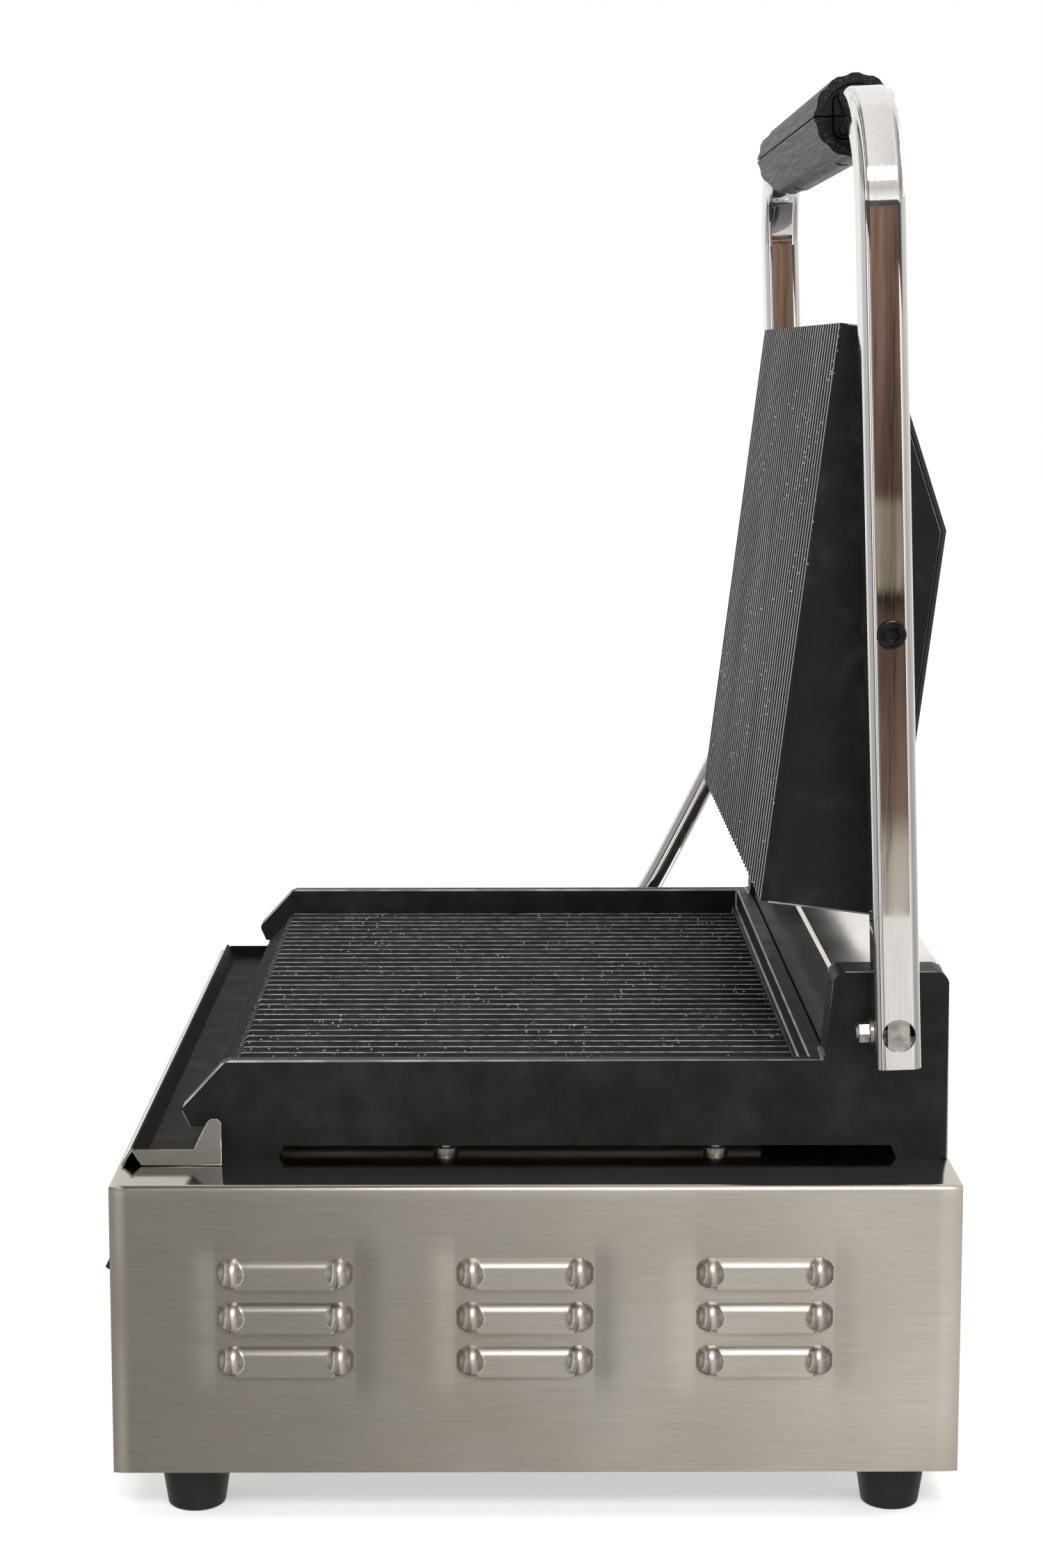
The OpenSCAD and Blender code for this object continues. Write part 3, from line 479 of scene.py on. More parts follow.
def plated(name, colour, stain, roughness=0.28, mottle=5, metallic=1.0):
    """Small metal parts with a barrel-plated, rolled or turned skin: soft bright highlights
    over a faintly mottled, slightly stained surface."""
    material, tree, shader, place = finish_base(name, colour, Metallic=metallic, Roughness=roughness)
    stains = add(tree, "TexNoise", {"Vector": place, "Scale": 1 / (mottle * MM), "Detail": 4.0})
    turned = add(tree, "TexNoise", {"Vector": place, "Scale": 1 / (0.35 * MM), "Detail": 2.0})
    wire(tree, shader, {
        "Base Color": add(tree, "ValToRGB", {"Fac": stains}, [(0.35, stain), (0.6, colour)]),
        "Roughness": add(tree, "MapRange", {
            "Value": stains, **limits(0.3, 0.7, roughness + 0.12, roughness - 0.04)}),
        "Normal": add(tree, "Bump", {"Height": turned, "Distance": 0.02 * MM, "Strength": 0.5})})
    return material


def fibre_board(name, colour, pale):
    """Pressed mineral fibre and glazed ceramic: a matt, pale body with short fibres."""
    material, tree, shader, place = finish_base(name, colour, Roughness=0.8)
    fibres = add(tree, "TexNoise", {
        "Vector": add(tree, "Mapping", {"Vector": place, "Scale": per_metre(0.5, 6, 1, 1)}),
        "Scale": 1.0, "Detail": 4.0})
    wire(tree, shader, {
        "Base Color": add(tree, "ValToRGB", {"Fac": fibres}, [(0.35, colour), (0.7, pale)]),
        "Normal": add(tree, "Bump", {"Height": fibres, "Distance": 0.1 * MM, "Strength": 0.6})})
    return material


def lamp_lens(name, colour, bright):
    """Clear polycarbonate lamp lens, tinted in the mass, over a ribbed diffuser."""
    material, tree, shader, place = finish_base(
        name, colour, Roughness=0.12, IOR=1.58, Transmission_Weight=0.5, Coat_Weight=0.4, Coat_Roughness=0.05)
    rings = add(tree, "TexWave", {
        "Vector": place, "Scale": 1 / (4 * MM), "Distortion": 0.3}, bands_direction="X").outputs["Fac"]
    wire(tree, shader, {
        "Base Color": add(tree, "ValToRGB", {"Fac": rings}, [(0.2, colour), (0.9, bright)]),
        "Normal": add(tree, "Bump", {"Height": rings, "Distance": 0.1 * MM, "Strength": 0.3})})
    return material


def finish(name):
    """Each finish is made once and shared by its pieces"""
    if name in bpy.data.materials:
        return bpy.data.materials[name]
    c = colours()
    # Rib frames for the crest lines, which are partly rubbed wear and partly a painted highlight that runs from
    # dull to shine
    lower_ribs = {"origin": (0, 0, 0), "turn": (0, 0, 0), "pitch": 0.329 / 36, "low": 0.1491, "high": 0.1533,
                  "half_width": 0.1640, "line": 0.35 * MM, "crest_breaks": 1.3, "dull": 0.10, "shine": 0.85}
    upper_ribs = {"origin": tuple(PIVOT), "turn": (-math.radians(90) - LID_LEAN, 0, 0), "pitch": 0.307 / 36,
                  "low": -0.0291, "high": -0.0279, "half_width": 0.1530, "line": 0.62 * MM, "crest_breaks": 40,
                  "dull": 0.58, "shine": 0.80}
    makers = {
        "brushed_stainless_wrap": lambda n: brushed_stainless(
            n, "Y", c.stainless, wiped_above=sizes().casing_top - 0.0012),
        "brushed_stainless_panel": lambda n: brushed_stainless(n, "X", c.stainless),
        "polished_stainless_tray": lambda n: brushed_stainless(n, "X", "#DAD7D2", roughness=0.2),
        "polished_stainless_cover": lambda n: brushed_stainless(n, "X", "#D2CFCA", roughness=0.15),
        # Near-black on the tray's inner faces: painted shade and a painted reflection of the casting
        "painted_shade_in_tray": lambda n: moulded(
            n, "#0F0E0D", "#211D1A", 0.6, 2.0, 0.02, Specular_IOR_Level=0.1),
        "chromium_plate_on_steel": chrome_plate,
        "black_enamel_lower_casting": lambda n: cast_enamel(n, c.casting, lower_ribs),
        "black_enamel_upper_casting": lambda n: cast_enamel(n, "#151516", upper_ribs),
        # Pale grey on the castings' rounded edges: a painted highlight
        "enamel_edge_painted_highlight": lambda n: moulded(n, "#6C6C6C", "#C4C4C2", 0.36),
        "black_powder_coat": powder_coat,
        "streaked_phenolic": phenolic_moulding,
        "moulded_rubber": lambda n: moulded(n, c.rubber, "#242423", 0.62, 0.6, 0.05),
        "black_nylon": lambda n: moulded(n, c.nylon, "#2A2A2A", 0.4),
        "zinc_plated_steel": lambda n: plated(n, c.zinc, "#8F8D86"),
        "black_oxide_steel": lambda n: plated(n, c.oxide, "#242322", 0.34, 3, 0.7),
        "sintered_bronze": lambda n: plated(n, "#B08D57", "#8A6B3E", 0.35),
        "oiled_spring_steel": lambda n: plated(n, "#4A4A4D", "#2E2C2B", 0.38),
        "drawn_copper": lambda n: plated(n, "#C27A55", "#8C5238", 0.3),
        "nickel_alloy_sheath": lambda n: plated(n, "#7D7A70", "#565147", 0.45),
        "scaled_mild_steel": lambda n: plated(n, "#2A2A2B", "#3A3836", 0.5, 8, 0.4),
        "mineral_fibre_board": lambda n: fibre_board(n, "#C9C2B2", "#E6E0D2"),
        "glazed_ceramic": lambda n: fibre_board(n, "#DAD6CB", "#F0EDE4"),
        "red_polycarbonate": lambda n: lamp_lens(n, "#C4140C", "#F01A10"),
    }
    return makers[name](name)


# ---------------------------------------------------------------- operators

class PressOperator(bpy.types.Operator):
    """Shared settings of the press's operators"""

    bl_options = {"REGISTER", "UNDO"}


class PRESS_OT_stage(PressOperator):
    """Camera, pale floor, soft lights and the cards that the bright metal mirrors"""

    bl_idname = "press.stage"
    bl_label = "Studio"

    def execute(self, context):
        scene = context.scene
        scene.view_settings.view_transform = "Standard"
        camera = bpy.data.cameras.new("press_camera")
        camera.lens = 65.2
        camera.sensor_width = 36.0
        camera.shift_y = -0.0306
        camera.clip_end = 60
        eye = bpy.data.objects.new("press_camera", camera)
        scene.collection.objects.link(eye)
        ahead = Vector((-math.cos(YAW) * math.cos(PITCH), -math.sin(YAW) * math.cos(PITCH), -math.sin(PITCH)))
        eye.location = EYE
        eye.rotation_euler = ahead.to_track_quat("-Z", "Y").to_euler()
        scene.camera = eye

        nothing_selected()
        bpy.ops.mesh.primitive_circle_add(vertices=96, radius=9, fill_type="NGON")
        floor = named("studio_floor")
        paper, tree, shader, place = finish_base("studio_paper", colours().floor, Roughness=0.9)
        fleck = add(tree, "TexNoise", {"Vector": place, "Scale": 1 / (3 * MM), "Detail": 2.0})
        # The paper is lit evenly from behind, and fully so away from the object
        away = add(tree, "VectorMath", {0: place}, operation="LENGTH").outputs["Value"]
        wire(tree, shader, {
            "Base Color": add(tree, "ValToRGB", {"Fac": fleck}, [(0.3, "#F1F1F0"), (0.7, "#F7F7F6")]),
            "Emission Color": rgba("#FFFFFF"),
            "Emission Strength": add(tree, "MapRange", {"Value": away, **limits(0.45, 2.2, 0.42, 1.0)},
                                     interpolation_type="SMOOTHSTEP")})
        floor.data.materials.append(paper)
        floor.visible_glossy = False

        for name, place, target, size, power in (
                ("overhead", (0.35, -0.1, 2.0), (0, 0, 0.2), (1.1, 1.5), 18),
                ("front_fill", (0.5, -2.0, 1.1), (0, 0, 0.25), (1.2, 1.0), 12),
                ("camera_side", (2.2, 0.35, 1.75), (0, 0, 0.2), (0.9, 0.5), 30),
                ("rear", (-0.5, 2.0, 1.2), (0, 0, 0.25), (1.2, 0.9), 12)):
            light = bpy.data.lights.new("light_" + name, "AREA")
            light.shape = "RECTANGLE"
            light.size, light.size_y = size
            light.energy = power
            lamp = bpy.data.objects.new("light_" + name, light)
            lamp.location = place
            lamp.rotation_euler = (Vector(target) - Vector(place)).to_track_quat("-Z", "Y").to_euler()
            lamp.visible_glossy = name in ("camera_side", "rear")
            scene.collection.objects.link(lamp)

        # Cards that only reflections see: low corner, high corner, and colours from the bottom up
        boards = [(0.0, "#D9D0C2"), (0.10, "#C9BFB0"), (0.15, "#8A7263"), (0.42, "#705A4E"), (0.455, "#2C211D"),
                  (0.47, "#A89C88"), (0.585, "#B0A48F"), (0.60, "#6A5349"), (0.80, "#8A6F62"), (1.0, "#97796A")]
        for name, low, high, colours_up in (
                ("boards", (1.00, 0.175, 0.06), (1.00, 0.262, 0.515), boards),
                ("window_frame", (1.00, 0.262, 0.10), (1.00, 0.29, 0.9), [(0.0, "#141414"), (1.0, "#1C1C1C")]),
                ("door_edge", (1.00, 0.13, 0.10), (1.00, 0.165, 0.9), [(0.0, "#1C1A19"), (1.0, "#242221")]),
                ("shelf", (1.5, -1.6, 0.50), (1.5, 1.6, 0.66), [(0.0, "#5A5A5A"), (1.0, "#6E6E6E")])):
            self.card(name, Vector(low), Vector(high), colours_up)

        world = bpy.data.worlds.new("studio_air")
        scene.world = world
        world.use_nodes = True
        tree = world.node_tree
        tree.nodes.clear()
        way = add(tree, "TexCoord").outputs["Generated"]
        split = add(tree, "SeparateXYZ", {"Vector": way})
        level = add(tree, "MapRange", {"Value": split.outputs["Z"], **limits(-1.0, 1.0)})
        room = add(tree, "ValToRGB", {"Fac": level}, [
            (0.0, "#9C9C9C"), (0.34, "#AEAEAE"), (0.46, "#BBBBBB"), (0.50, "#CECECE"), (0.56, "#DADADA"),
            (0.66, "#A2A2A2"), (0.78, "#B5B5B5"), (1.0, "#ADADAD")])
        # Dark and bright uprights round the room, as doors and windows make: their places along Y
        # stand in the stops
        turn = add(tree, "MapRange", {"Value": split.outputs["Y"], **limits(-1.0, 1.0)})
        uprights = add(tree, "ValToRGB", {"Fac": turn}, [
            (0.0, "#B1B1B1"), (0.10, "#A9A9A9"), (0.13, "#3B3B3B"), (0.16, "#414141"), (0.18, "#F1F1F1"),
            (0.27, "#FBFBFB"), (0.29, "#343434"), (0.33, "#3B3B3B"), (0.34, "#EBEBEB"), (0.385, "#E6E6E6"),
            (0.395, "#4C4C4C"), (0.41, "#555555"), (0.43, "#737373"), (0.475, "#8A8A8A"), (0.500, "#A9A9A9"),
            (0.512, "#E8E8E8"), (0.522, "#A0A0A0"), (0.542, "#FBFBFB"), (0.560, "#DADADA"), (0.60, "#FFFFFF"),
            (0.75, "#C1C1C1"), (0.88, "#969696"), (1.0, "#B1B1B1")])
        walls = add(tree, "Mix", {0: 1.0, 6: room, 7: uprights}, data_type="RGBA", blend_type="MULTIPLY")
        warm = add(tree, "Mix", {0: 1.0, 6: walls.outputs[2], 7: rgba("#FFFCF8")},
                   data_type="RGBA", blend_type="MULTIPLY")
        # Behind the object hangs the same white paper as under it
        behind = add(tree, "MapRange", {"Value": split.outputs["X"], **limits(-0.25, -0.45, 0.0, 0.8)})
        backed = add(tree, "Mix", {0: behind, 6: warm.outputs[2], 7: rgba("#ABABAA")}, data_type="RGBA")
        around = add(tree, "Background", {"Color": backed.outputs[2], "Strength": 2.65})
        soft = add(tree, "Background", {"Color": rgba("#FFFFFF"), "Strength": 0.34})
        seen = add(tree, "Background", {"Color": rgba("#FFFFFF"), "Strength": 1.0})
        path = add(tree, "LightPath")
        first = add(tree, "MixShader", {0: path.outputs["Is Glossy Ray"], 1: soft, 2: around})
        second = add(tree, "MixShader", {0: path.outputs["Is Camera Ray"], 1: first, 2: seen})
        add(tree, "OutputWorld", {"Surface": second})
        return {"FINISHED"}

    def card(self, name, low, high, colours_up):
        nothing_selected()
        middle = (low + high) / 2
        bpy.ops.mesh.primitive_plane_add(size=1, location=middle, rotation=(0, math.radians(-90), 0))
        card = named("studio_card_" + name)
        card.scale = (high.z - low.z, high.y - low.y, 1)
        settle(card)
        paint = bpy.data.materials.new("painted_card_" + name)
        paint.use_nodes = True
        tree = paint.node_tree
        tree.nodes.clear()
        place = add(tree, "TexCoord").outputs["Object"]
        height = add(tree, "MapRange", {
            "Value": add(tree, "SeparateXYZ", {"Vector": place}).outputs["Z"],
            **limits(low.z, high.z)})
        shade = add(tree, "ValToRGB", {"Fac": height}, colours_up)
        # Upright streaks 6 mm wide, as boards and door frames across a room would show
        grain = add(tree, "TexNoise", {
            "Vector": add(tree, "Mapping", {"Vector": place, "Scale": per_metre(6, 1, 1, 60)}),
            "Scale": 1.0, "Detail": 2.0})
        streaks = add(tree, "ValToRGB", {"Fac": grain}, [(0.38, "#8C8C8C"), (0.60, "#FFFFFF")])
        painted = add(tree, "Mix", {0: 1.0, 6: shade, 7: streaks}, data_type="RGBA", blend_type="MULTIPLY")
        glow = add(tree, "Emission", {"Color": painted.outputs[2], "Strength": 1.15})
        add(tree, "OutputMaterial", {"Surface": glow})
        card.data.materials.append(paint)
        card.visible_camera = card.visible_diffuse = card.visible_shadow = False
        card.visible_transmission = card.visible_volume_scatter = False


class PRESS_OT_casing(PressOperator):
    """The bent casing sheet with its pressed louvres, and the panels that close it"""

    bl_idname = "press.casing"
    bl_label = "Casing"

    def execute(self, context):
        s = sizes()
        slits = [s.casing_top - TOP_SLIT - i * SLIT_STEP for i in range(SLITS)]
        half_depth = s.casing_depth / 2
        # Rows of the grid that lie on a fixed height: the foot, each slit and the start of the bend
        stops = [(0, s.casing_foot)]
        row = 6
        for slit in reversed(slits):
            stops += [(row, slit - 0.0004), (row + 1, slit), (row + 24, slit + 0.0110)]
            row += 27
        side_rows, bend_rows, top_rows = row + 3, 4, 3
        rows = side_rows + bend_rows + top_rows
        stops.append((side_rows, s.casing_top - BEND))
        # Columns lie closer together over the round ends of the louvres
        lanes = [(0, -half_depth)]
        column = 10
        for centre in LOUVRE_CENTRES:
            lanes += [(column, centre - 0.0255), (column + 24, centre - 0.0140),
                      (column + 34, centre + 0.0140), (column + 58, centre + 0.0255)]
            column += 68
        columns = column
        lanes.append((columns, half_depth))
        nothing_selected()
        bpy.ops.mesh.primitive_grid_add(x_subdivisions=columns, y_subdivisions=rows, size=1)
        sheet = named("casing_sheet")
        for vertex in sheet.data.vertices:
            column = round((vertex.co.x + 0.5) * columns)
            row = round((vertex.co.y + 0.5) * rows)
            y = self.between(lanes, column)
            vertex.co = self.sheet_point(s, y, row, side_rows, bend_rows, rows, stops, slits)

        def mouth(face):
            """The strip just under a louvre's lip, which the press tool slit open"""
            low = min(v.co.z for v in face.verts)
            high = max(v.co.z for v in face.verts)
            out = max(v.co.x for v in face.verts) - s.casing_width / 2
            return out > 0.0007 and any(abs(high - z) < 0.00005 and low < z - 0.0002 for z in slits)

        pick(sheet, "FACE", mouth)
        bpy.ops.mesh.delete(type="ONLY_FACE")
        leave_edit()
        # The top has an opening under the casting, for the element and its leads
        half_x, half_y = 0.140, 0.084
        pick(sheet, "FACE", lambda face: abs(face.calc_center_median().x) < half_x
             and abs(face.calc_center_median().y) < half_y)
        bpy.ops.mesh.delete(type="FACE")
        leave_edit()
        modify(sheet, "MIRROR", use_axis=(True, False, False), use_clip=True, merge_threshold=0.0001)
        outwards(sheet)
        modify(sheet, "SOLIDIFY", thickness=s.sheet, offset=-1.0, use_even_offset=False)
        smooth(sheet, 38, weighted=False)
        self.brush_map(sheet)
        attach(sheet, "base", "brushed_stainless_wrap", ["casing_wrap"])

        for node in ("front_panel", "rear_panel"):
            panel = rounded_copy(node, node + "_sheet", s.sheet_round, shortest=0.002)
            attach(panel, "base", "brushed_stainless_panel", [node])
        return {"FINISHED"}

    def between(self, stops, step):
        """The place of a grid line that falls between two fixed ones"""
        for (r0, p0), (r1, p1) in zip(stops, stops[1:]):
            if r0 <= step <= r1:
                return p0 + (p1 - p0) * (step - r0) / (r1 - r0)
        raise RuntimeError("a grid line lies outside the sheet")

    def sheet_point(self, s, y, row, side_rows, bend_rows, rows, stops, slits):
        """Where one point of the flat sheet lies once it is bent and pressed"""
        half = s.casing_width / 2
        # The cut front and rear edges are broken slightly inwards
        turn_in = max(0.0, abs(y) - s.casing_depth / 2 + 0.0016)
        tuck = turn_in * turn_in * 220
        if row <= side_rows:
            z = self.between(stops, row)
            x = half + self.pressed(s, y, z, slits) - tuck
            return Vector((x, y, z))
        if row <= side_rows + bend_rows:
            angle = (row - side_rows) / bend_rows * math.pi / 2
            return Vector((half - BEND + (BEND - tuck) * math.cos(angle), y,
                           s.casing_top - BEND + (BEND - tuck) * math.sin(angle)))
        inwards = (row - side_rows - bend_rows) / (rows - side_rows - bend_rows)
        return Vector(((half - BEND) * (1 - inwards), y, s.casing_top - tuck))

    def pressed(self, s, y, z, slits):
        """How far the press tool pushed the side out at a point: a flat face between two
        ball-shaped ends above each slit, and a shallow dish drawn in round them"""
        height, deep = s.louvre_height, s.louvre_out
        ball = height / 2
        out = 0.0
        dish = 0.0
        for centre in LOUVRE_CENTRES:
            along = abs(y - centre)
            if along > s.louvre_length / 2 + 0.02:
                continue
            end = s.louvre_length / 2 - ball
            for slit in slits:
                up = z - slit
                if up >= -0.00002 and up < height and along < end + ball:
                    roll = min(1.0, (height - up) / 0.0030)
                    stop = min(1.0, max(0.0, (end + 0.0004 - along) / 0.0024))
                    flat = deep * (0.64 - 0.14 * up / height) * roll * (2 - roll) * stop * stop * (3 - 2 * stop)
                    reach = math.hypot(along - end, up - ball * 0.96) / (ball * 1.02)
                    out = max(out, flat, deep * math.sqrt(max(0.0, 1 - reach * reach)))
                side = max(0.0, along - s.louvre_length / 2)
                away = math.hypot(side, max(0.0, up - height, -up))
                dish = max(dish, math.exp(-(away / 0.005) ** 2))
        return out if out > 0 else -0.0003 * dish

    def brush_map(self, sheet):
        """A flat map whose first axis runs across the grain, so that highlights spread that way"""
        layer = sheet.data.uv_layers.new(name="grain")
        for loop in sheet.data.loops:
            p = sheet.data.vertices[loop.vertex_index].co
            layer.data[loop.index].uv = (p.z + abs(p.x), p.y)


class PRESS_OT_base_parts(PressOperator):
    """Feet, fixings, rear cover and drip tray on the casing"""

    bl_idname = "press.base_parts"
    bl_label = "Base parts"

    def execute(self, context):
        s = sizes()
        self.feet()
        cover = rounded_copy("rear_cover", "rear_cover_sheet", s.sheet_round, shortest=0.0009, degrees=50)
        attach(cover, "base", "polished_stainless_cover", ["rear_cover"])
        tray = rounded_copy("drip_tray", "drip_tray_sheet", s.sheet_round, shortest=0.0015)
        low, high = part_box("drip_tray")
        # The tray's inner faces are painted near-black: painted shade and a painted reflection of the black
        # casting
        for face in tray.data.polygons:
            n, c = face.normal, face.center
            floor = n.z > 0.9 and c.z < high.z - 0.004
            front = n.y > 0.5 and c.y < low.y + 0.010
            ends = n.x * c.x < 0 and abs(n.x) > 0.5 and abs(c.x) > high.x - 0.010
            if floor or front or ends:
                face.material_index = 1
        attach(tray, "tray", "polished_stainless_tray", ["drip_tray"], "painted_shade_in_tray")
        for node in ("plate_bolts", "conduit_gland", "cover_screws"):
            piece = rounded_copy(node, node + "_turned", 0.00025, shortest=0.0003)
            attach(piece, "base", "zinc_plated_steel", [node])
        return {"FINISHED"}

    def feet(self):
        """Moulded feet: a tapered plug with a rounded tread edge and a screw recess"""
        low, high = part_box("rubber_feet")
        radius, taper = 13.5 * MM, 0.775
        feet = []
        for x in (low.x + radius, high.x - radius):
            for y in (low.y + radius, high.y - radius):
                nothing_selected()
                bpy.ops.mesh.primitive_cylinder_add(
                    vertices=48, radius=radius, depth=high.z, location=(x, y, high.z / 2))
                foot = named("rubber_foot")
                settle(foot)
                pick(foot, "FACE", lambda f: f.normal.z < -0.9)
                bpy.ops.transform.resize(value=(taper, taper, 1), center_override=(x, y, 0))
                bpy.ops.mesh.bevel(offset=0.0011, segments=3, affect="EDGES")
                leave_edit()
                pick(foot, "FACE", lambda f: f.normal.z < -0.99 and f.calc_area() > 1e-5)
                bpy.ops.mesh.inset(thickness=0.0042)
                bpy.ops.mesh.extrude_region_move(TRANSFORM_OT_translate={"value": (0, 0, 0.008)})
                leave_edit()
                pick(foot, "EDGE", lambda e: all(abs(v.co.z - high.z) < 1e-5 for v in e.verts))
                bpy.ops.mesh.bevel(offset=0.0007, segments=2, affect="EDGES")
                leave_edit()
                feet.append(foot)
        nothing_selected()
        for foot in feet:
            foot.select_set(True)
        bpy.context.view_layer.objects.active = feet[0]
        bpy.ops.object.join()
        joined = named("moulded_feet")
        smooth(joined, 40)
        attach(joined, "base", "moulded_rubber", ["rubber_feet"])


class PRESS_OT_lower_casting(PressOperator):
    """The ribbed lower plate with its rims, legs, lip and hinge lugs"""

    bl_idname = "press.lower_casting"
    bl_label = "Lower casting"

    def execute(self, context):
        s = sizes()

        def outer(edge):
            """Edges of the rims and lugs, which are given a pale painted highlight, but not the ribs or legs"""
            middle = (edge.verts[0].co + edge.verts[1].co) / 2
            on_rib = abs(middle.x) < 0.1640 and middle.z < 0.1535 and middle.y < 0.105
            return not on_rib and middle.z > s.casing_top + 0.014

        plate = rounded_copy("lower_plate", "lower_casting", s.casting_round, 3, shortest=0.004,
                             test=outer, edge=True)
        # The rounded rim edges take the pale painted highlight finish
        attach(plate, "base", "black_enamel_lower_casting", ["lower_plate"], "enamel_edge_painted_highlight")
        return {"FINISHED"}


class PRESS_OT_hinge(PressOperator):
    """Shaft, clamp bolts and pivot bolts that carry the handle and lid"""

    bl_idname = "press.hinge"
    bl_label = "Hinge"

    def execute(self, context):
        zinc, oxide = ("zinc_plated_steel", "steel_fixings"), ("black_oxide_steel", "black_oxide")
        for node, (look, slot), width in (
                ("hinge_shaft", zinc, 0.4), ("clamp_bolts", zinc, 0.4), ("clamp_washers", zinc, 0.2),
                ("conduit_clip", zinc, 0.3), ("grip_screws", zinc, 0.2), ("pivot_bolts", oxide, 0.5)):
            piece = rounded_copy(node, node + "_turned", width * MM, shortest=0.0003)
            attach(piece, body_of(node), look, [node])
        return {"FINISHED"}


class PRESS_OT_handle(PressOperator):
    """The chromed square tube bent into one U, and its fluted two-part grip"""

    bl_idname = "press.handle"
    bl_label = "Handle"

    def execute(self, context):
        tube = rounded_copy("handle_tube", "handle_tube_bent", 0.0003, 2, sharp=60, shortest=0.0008)
        attach(tube, "handle", "chromium_plate_on_steel", ["handle_tube"])
        for node in ("grip_lower_shell", "grip_upper_shell"):
            shell = rounded_copy(node, node + "_moulded", 0.0005, 2, sharp=24, shortest=0.0012)
            attach(shell, "handle", "streaked_phenolic", [node])
        return {"FINISHED"}


class PRESS_OT_lid(PressOperator):
    """The ribbed upper casting, its bent cover and the cover's screws"""

    bl_idname = "press.lid"
    bl_label = "Lid"

    def execute(self, context):
        s = sizes()
        back = Matrix.Rotation(math.radians(90) + LID_LEAN, 4, "X")

        def outer(edge):
            """Edges above the ribs' crests, in the lid's own frame"""
            middle = (edge.verts[0].co + edge.verts[1].co) / 2
            return (back @ (middle - PIVOT)).z > -0.0255

        plate = rounded_copy("upper_plate", "upper_casting", s.casting_round * 0.8, 3, shortest=0.004,
                             test=outer, edge=True)
        # The rounded edges above the crests take the pale painted highlight finish
        attach(plate, "lid", "black_enamel_upper_casting", ["upper_plate"], "enamel_edge_painted_highlight")
        cover = rounded_copy("upper_cover", "lid_cover_sheet", 0.0005, 2, shortest=0.0012)
        attach(cover, "lid", "black_powder_coat", ["upper_cover"])
        screws = rounded_copy("upper_cover_screws", "lid_cover_screws", 0.0002, shortest=0.0003)
        attach(screws, "lid", "black_oxide_steel", ["upper_cover_screws"])
        return {"FINISHED"}


class PRESS_OT_conduit(PressOperator):
    """The chromed lead conduit from the casing to the lid, in two runs"""

    bl_idname = "press.conduit"
    bl_label = "Lead conduit"

    def execute(self, context):
        # Routes in millimetres: the lower run from the casing's gland to the clip on the far arm,
        # the upper from that clip into the lid
        top = sizes().casing_top / MM
        bore = sizes().conduit_bore
        lower = [(-196.4, 48, top + 5.2), (-196.5, 49.8, top + 13), (-197.3, 56, top + 25),
                 (-197.6, 63.5, top + 38), (-197.6, 78, top + 66), (-197.6, 89, top + 88),
                 (-197.6, 103, top + 116), (-197.6, 116, top + 142), (-197.6, 125, top + 160)]
        upper = [(-197.6, 130, top + 171), (-197.4, 134.5, top + 181), (-196, 138.5, top + 191),
                 (-191.5, 141, top + 200), (-184, 141.5, top + 206.5), (-175, 139.8, top + 209.5),
                 (-166.5, 137, top + 210), (-158.2, 135.5, top + 210)]
        for name, node, route, diameter, first, last in (
                ("lead_conduit_tube", "lead_conduit", lower, bore, "base", "handle"),
                ("lead_tail_tube", "lead_tail", upper, bore - 0.002, "handle", "lid")):
            run = self.tube(name, route, diameter)
            attach(run, None, "chromium_plate_on_steel", [node])
            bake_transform(run)
        return {"FINISHED"}

    def tube(self, name, route, diameter):
        """A round tube swept along a smooth curve through the route"""
        curve = bpy.data.curves.new(name, "CURVE")
        curve.dimensions = "3D"
        curve.bevel_depth = diameter / 2
        curve.bevel_resolution = 8
        curve.use_fill_caps = True
        curve.resolution_u = 6
        line = curve.splines.new("BEZIER")
        line.bezier_points.add(len(route) - 1)
        for point, place in zip(line.bezier_points, route):
            point.co = Vector(place) * MM
            point.handle_left_type = point.handle_right_type = "AUTO"
        piece = bpy.data.objects.new(name, curve)
        bpy.context.collection.objects.link(piece)
        select_only(piece)
        bpy.ops.object.convert(target="MESH")
        piece = bpy.context.object
        outwards(piece)
        smooth(piece, 40)
        return piece


class PRESS_OT_controls(PressOperator):
    """Knob, rocker switch, lamps and cable gland"""

    bl_idname = "press.controls"
    bl_label = "Controls"

    def execute(self, context):
        for node, look, slot, width in (
                ("thermostat_knob", "black_nylon", "phenolic", 0.6),
                ("switch_housing", "black_nylon", "black_plastic", 0.5),
                ("switch_rocker", "black_nylon", "black_plastic", 0.5),
                ("cable_gland", "black_nylon", "black_plastic", 0.5),
                ("lead_entry", "black_nylon", "black_plastic", 0.4),
                ("lamp_bezels", "zinc_plated_steel", "steel_fixings", 0.3),
                ("lamp_lenses", "red_polycarbonate", "lens", 0.2)):
            piece = rounded_copy(node, node + "_moulded", width * MM, 2, shortest=0.0004)
            attach(piece, body_of(node), look, [node])
        return {"FINISHED"}


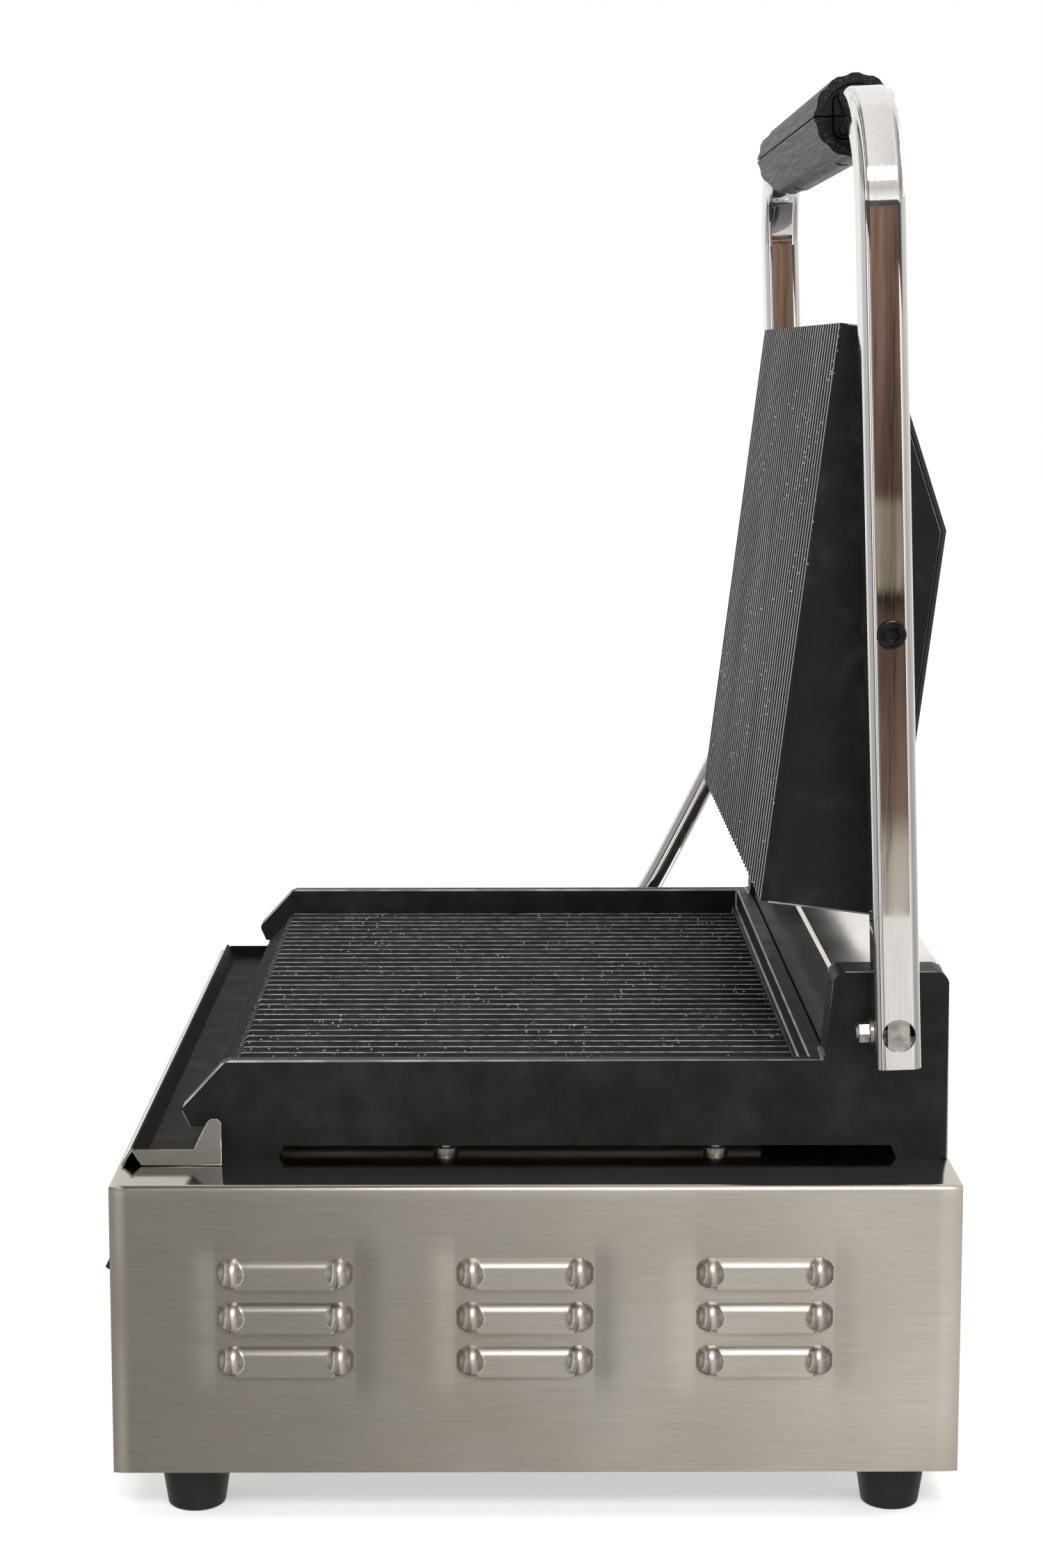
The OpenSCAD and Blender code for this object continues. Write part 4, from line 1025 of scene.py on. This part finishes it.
class PRESS_OT_inner_parts(PressOperator):
    """Finishes of the frame's own parts that stay as they are"""

    bl_idname = "press.inner_parts"
    bl_label = "Inner parts"

    def execute(self, context):
        repaint("zinc_plated_steel", "foot_screws", "panel_screws", "base_plate", "spring_bracket",
                "thermostat_spindle", "pivot_spacers")
        repaint("oiled_spring_steel", "torsion_springs")
        repaint("sintered_bronze", "shaft_bushes")
        repaint("nickel_alloy_sheath", "lower_element", "upper_element")
        repaint("mineral_fibre_board", "lower_insulation", "upper_insulation")
        repaint("scaled_mild_steel", "lower_clamp_plate", "upper_clamp_plate", "thermostat_body")
        repaint("glazed_ceramic", "terminal_block")
        repaint("drawn_copper", "capillary_bulb")
        return {"FINISHED"}


STEPS = (PRESS_OT_stage, PRESS_OT_casing, PRESS_OT_base_parts, PRESS_OT_lower_casting, PRESS_OT_hinge,
         PRESS_OT_handle, PRESS_OT_lid, PRESS_OT_conduit, PRESS_OT_controls, PRESS_OT_inner_parts)


class PRESS_PT_panel(bpy.types.Panel):
    """Sizes, colours and building steps of the press"""

    bl_idname = "PRESS_PT_panel"
    bl_label = "Panini press"
    bl_space_type = "VIEW_3D"
    bl_region_type = "UI"
    bl_category = "Press"

    def draw(self, context):
        for group in (context.scene.press_sizes, context.scene.press_colours):
            box = self.layout.box()
            for name in group.bl_rna.properties.keys():
                if name not in ("rna_type", "name"):
                    box.prop(group, name)
        for step in STEPS:
            self.layout.operator(step.bl_idname)


CLASSES = (PressSizes, PressColours, *STEPS, PRESS_PT_panel)


def register():
    for item in CLASSES:
        bpy.utils.register_class(item)
    bpy.types.Scene.press_sizes = bpy.props.PointerProperty(type=PressSizes)
    bpy.types.Scene.press_colours = bpy.props.PointerProperty(type=PressColours)


def unregister():
    del bpy.types.Scene.press_colours
    del bpy.types.Scene.press_sizes
    for item in reversed(CLASSES):
        bpy.utils.unregister_class(item)


def main():
    register()
    for step in STEPS:
        group, name = step.bl_idname.split(".")
        getattr(getattr(bpy.ops, group), name)()


if __name__ == "__main__":
    main()
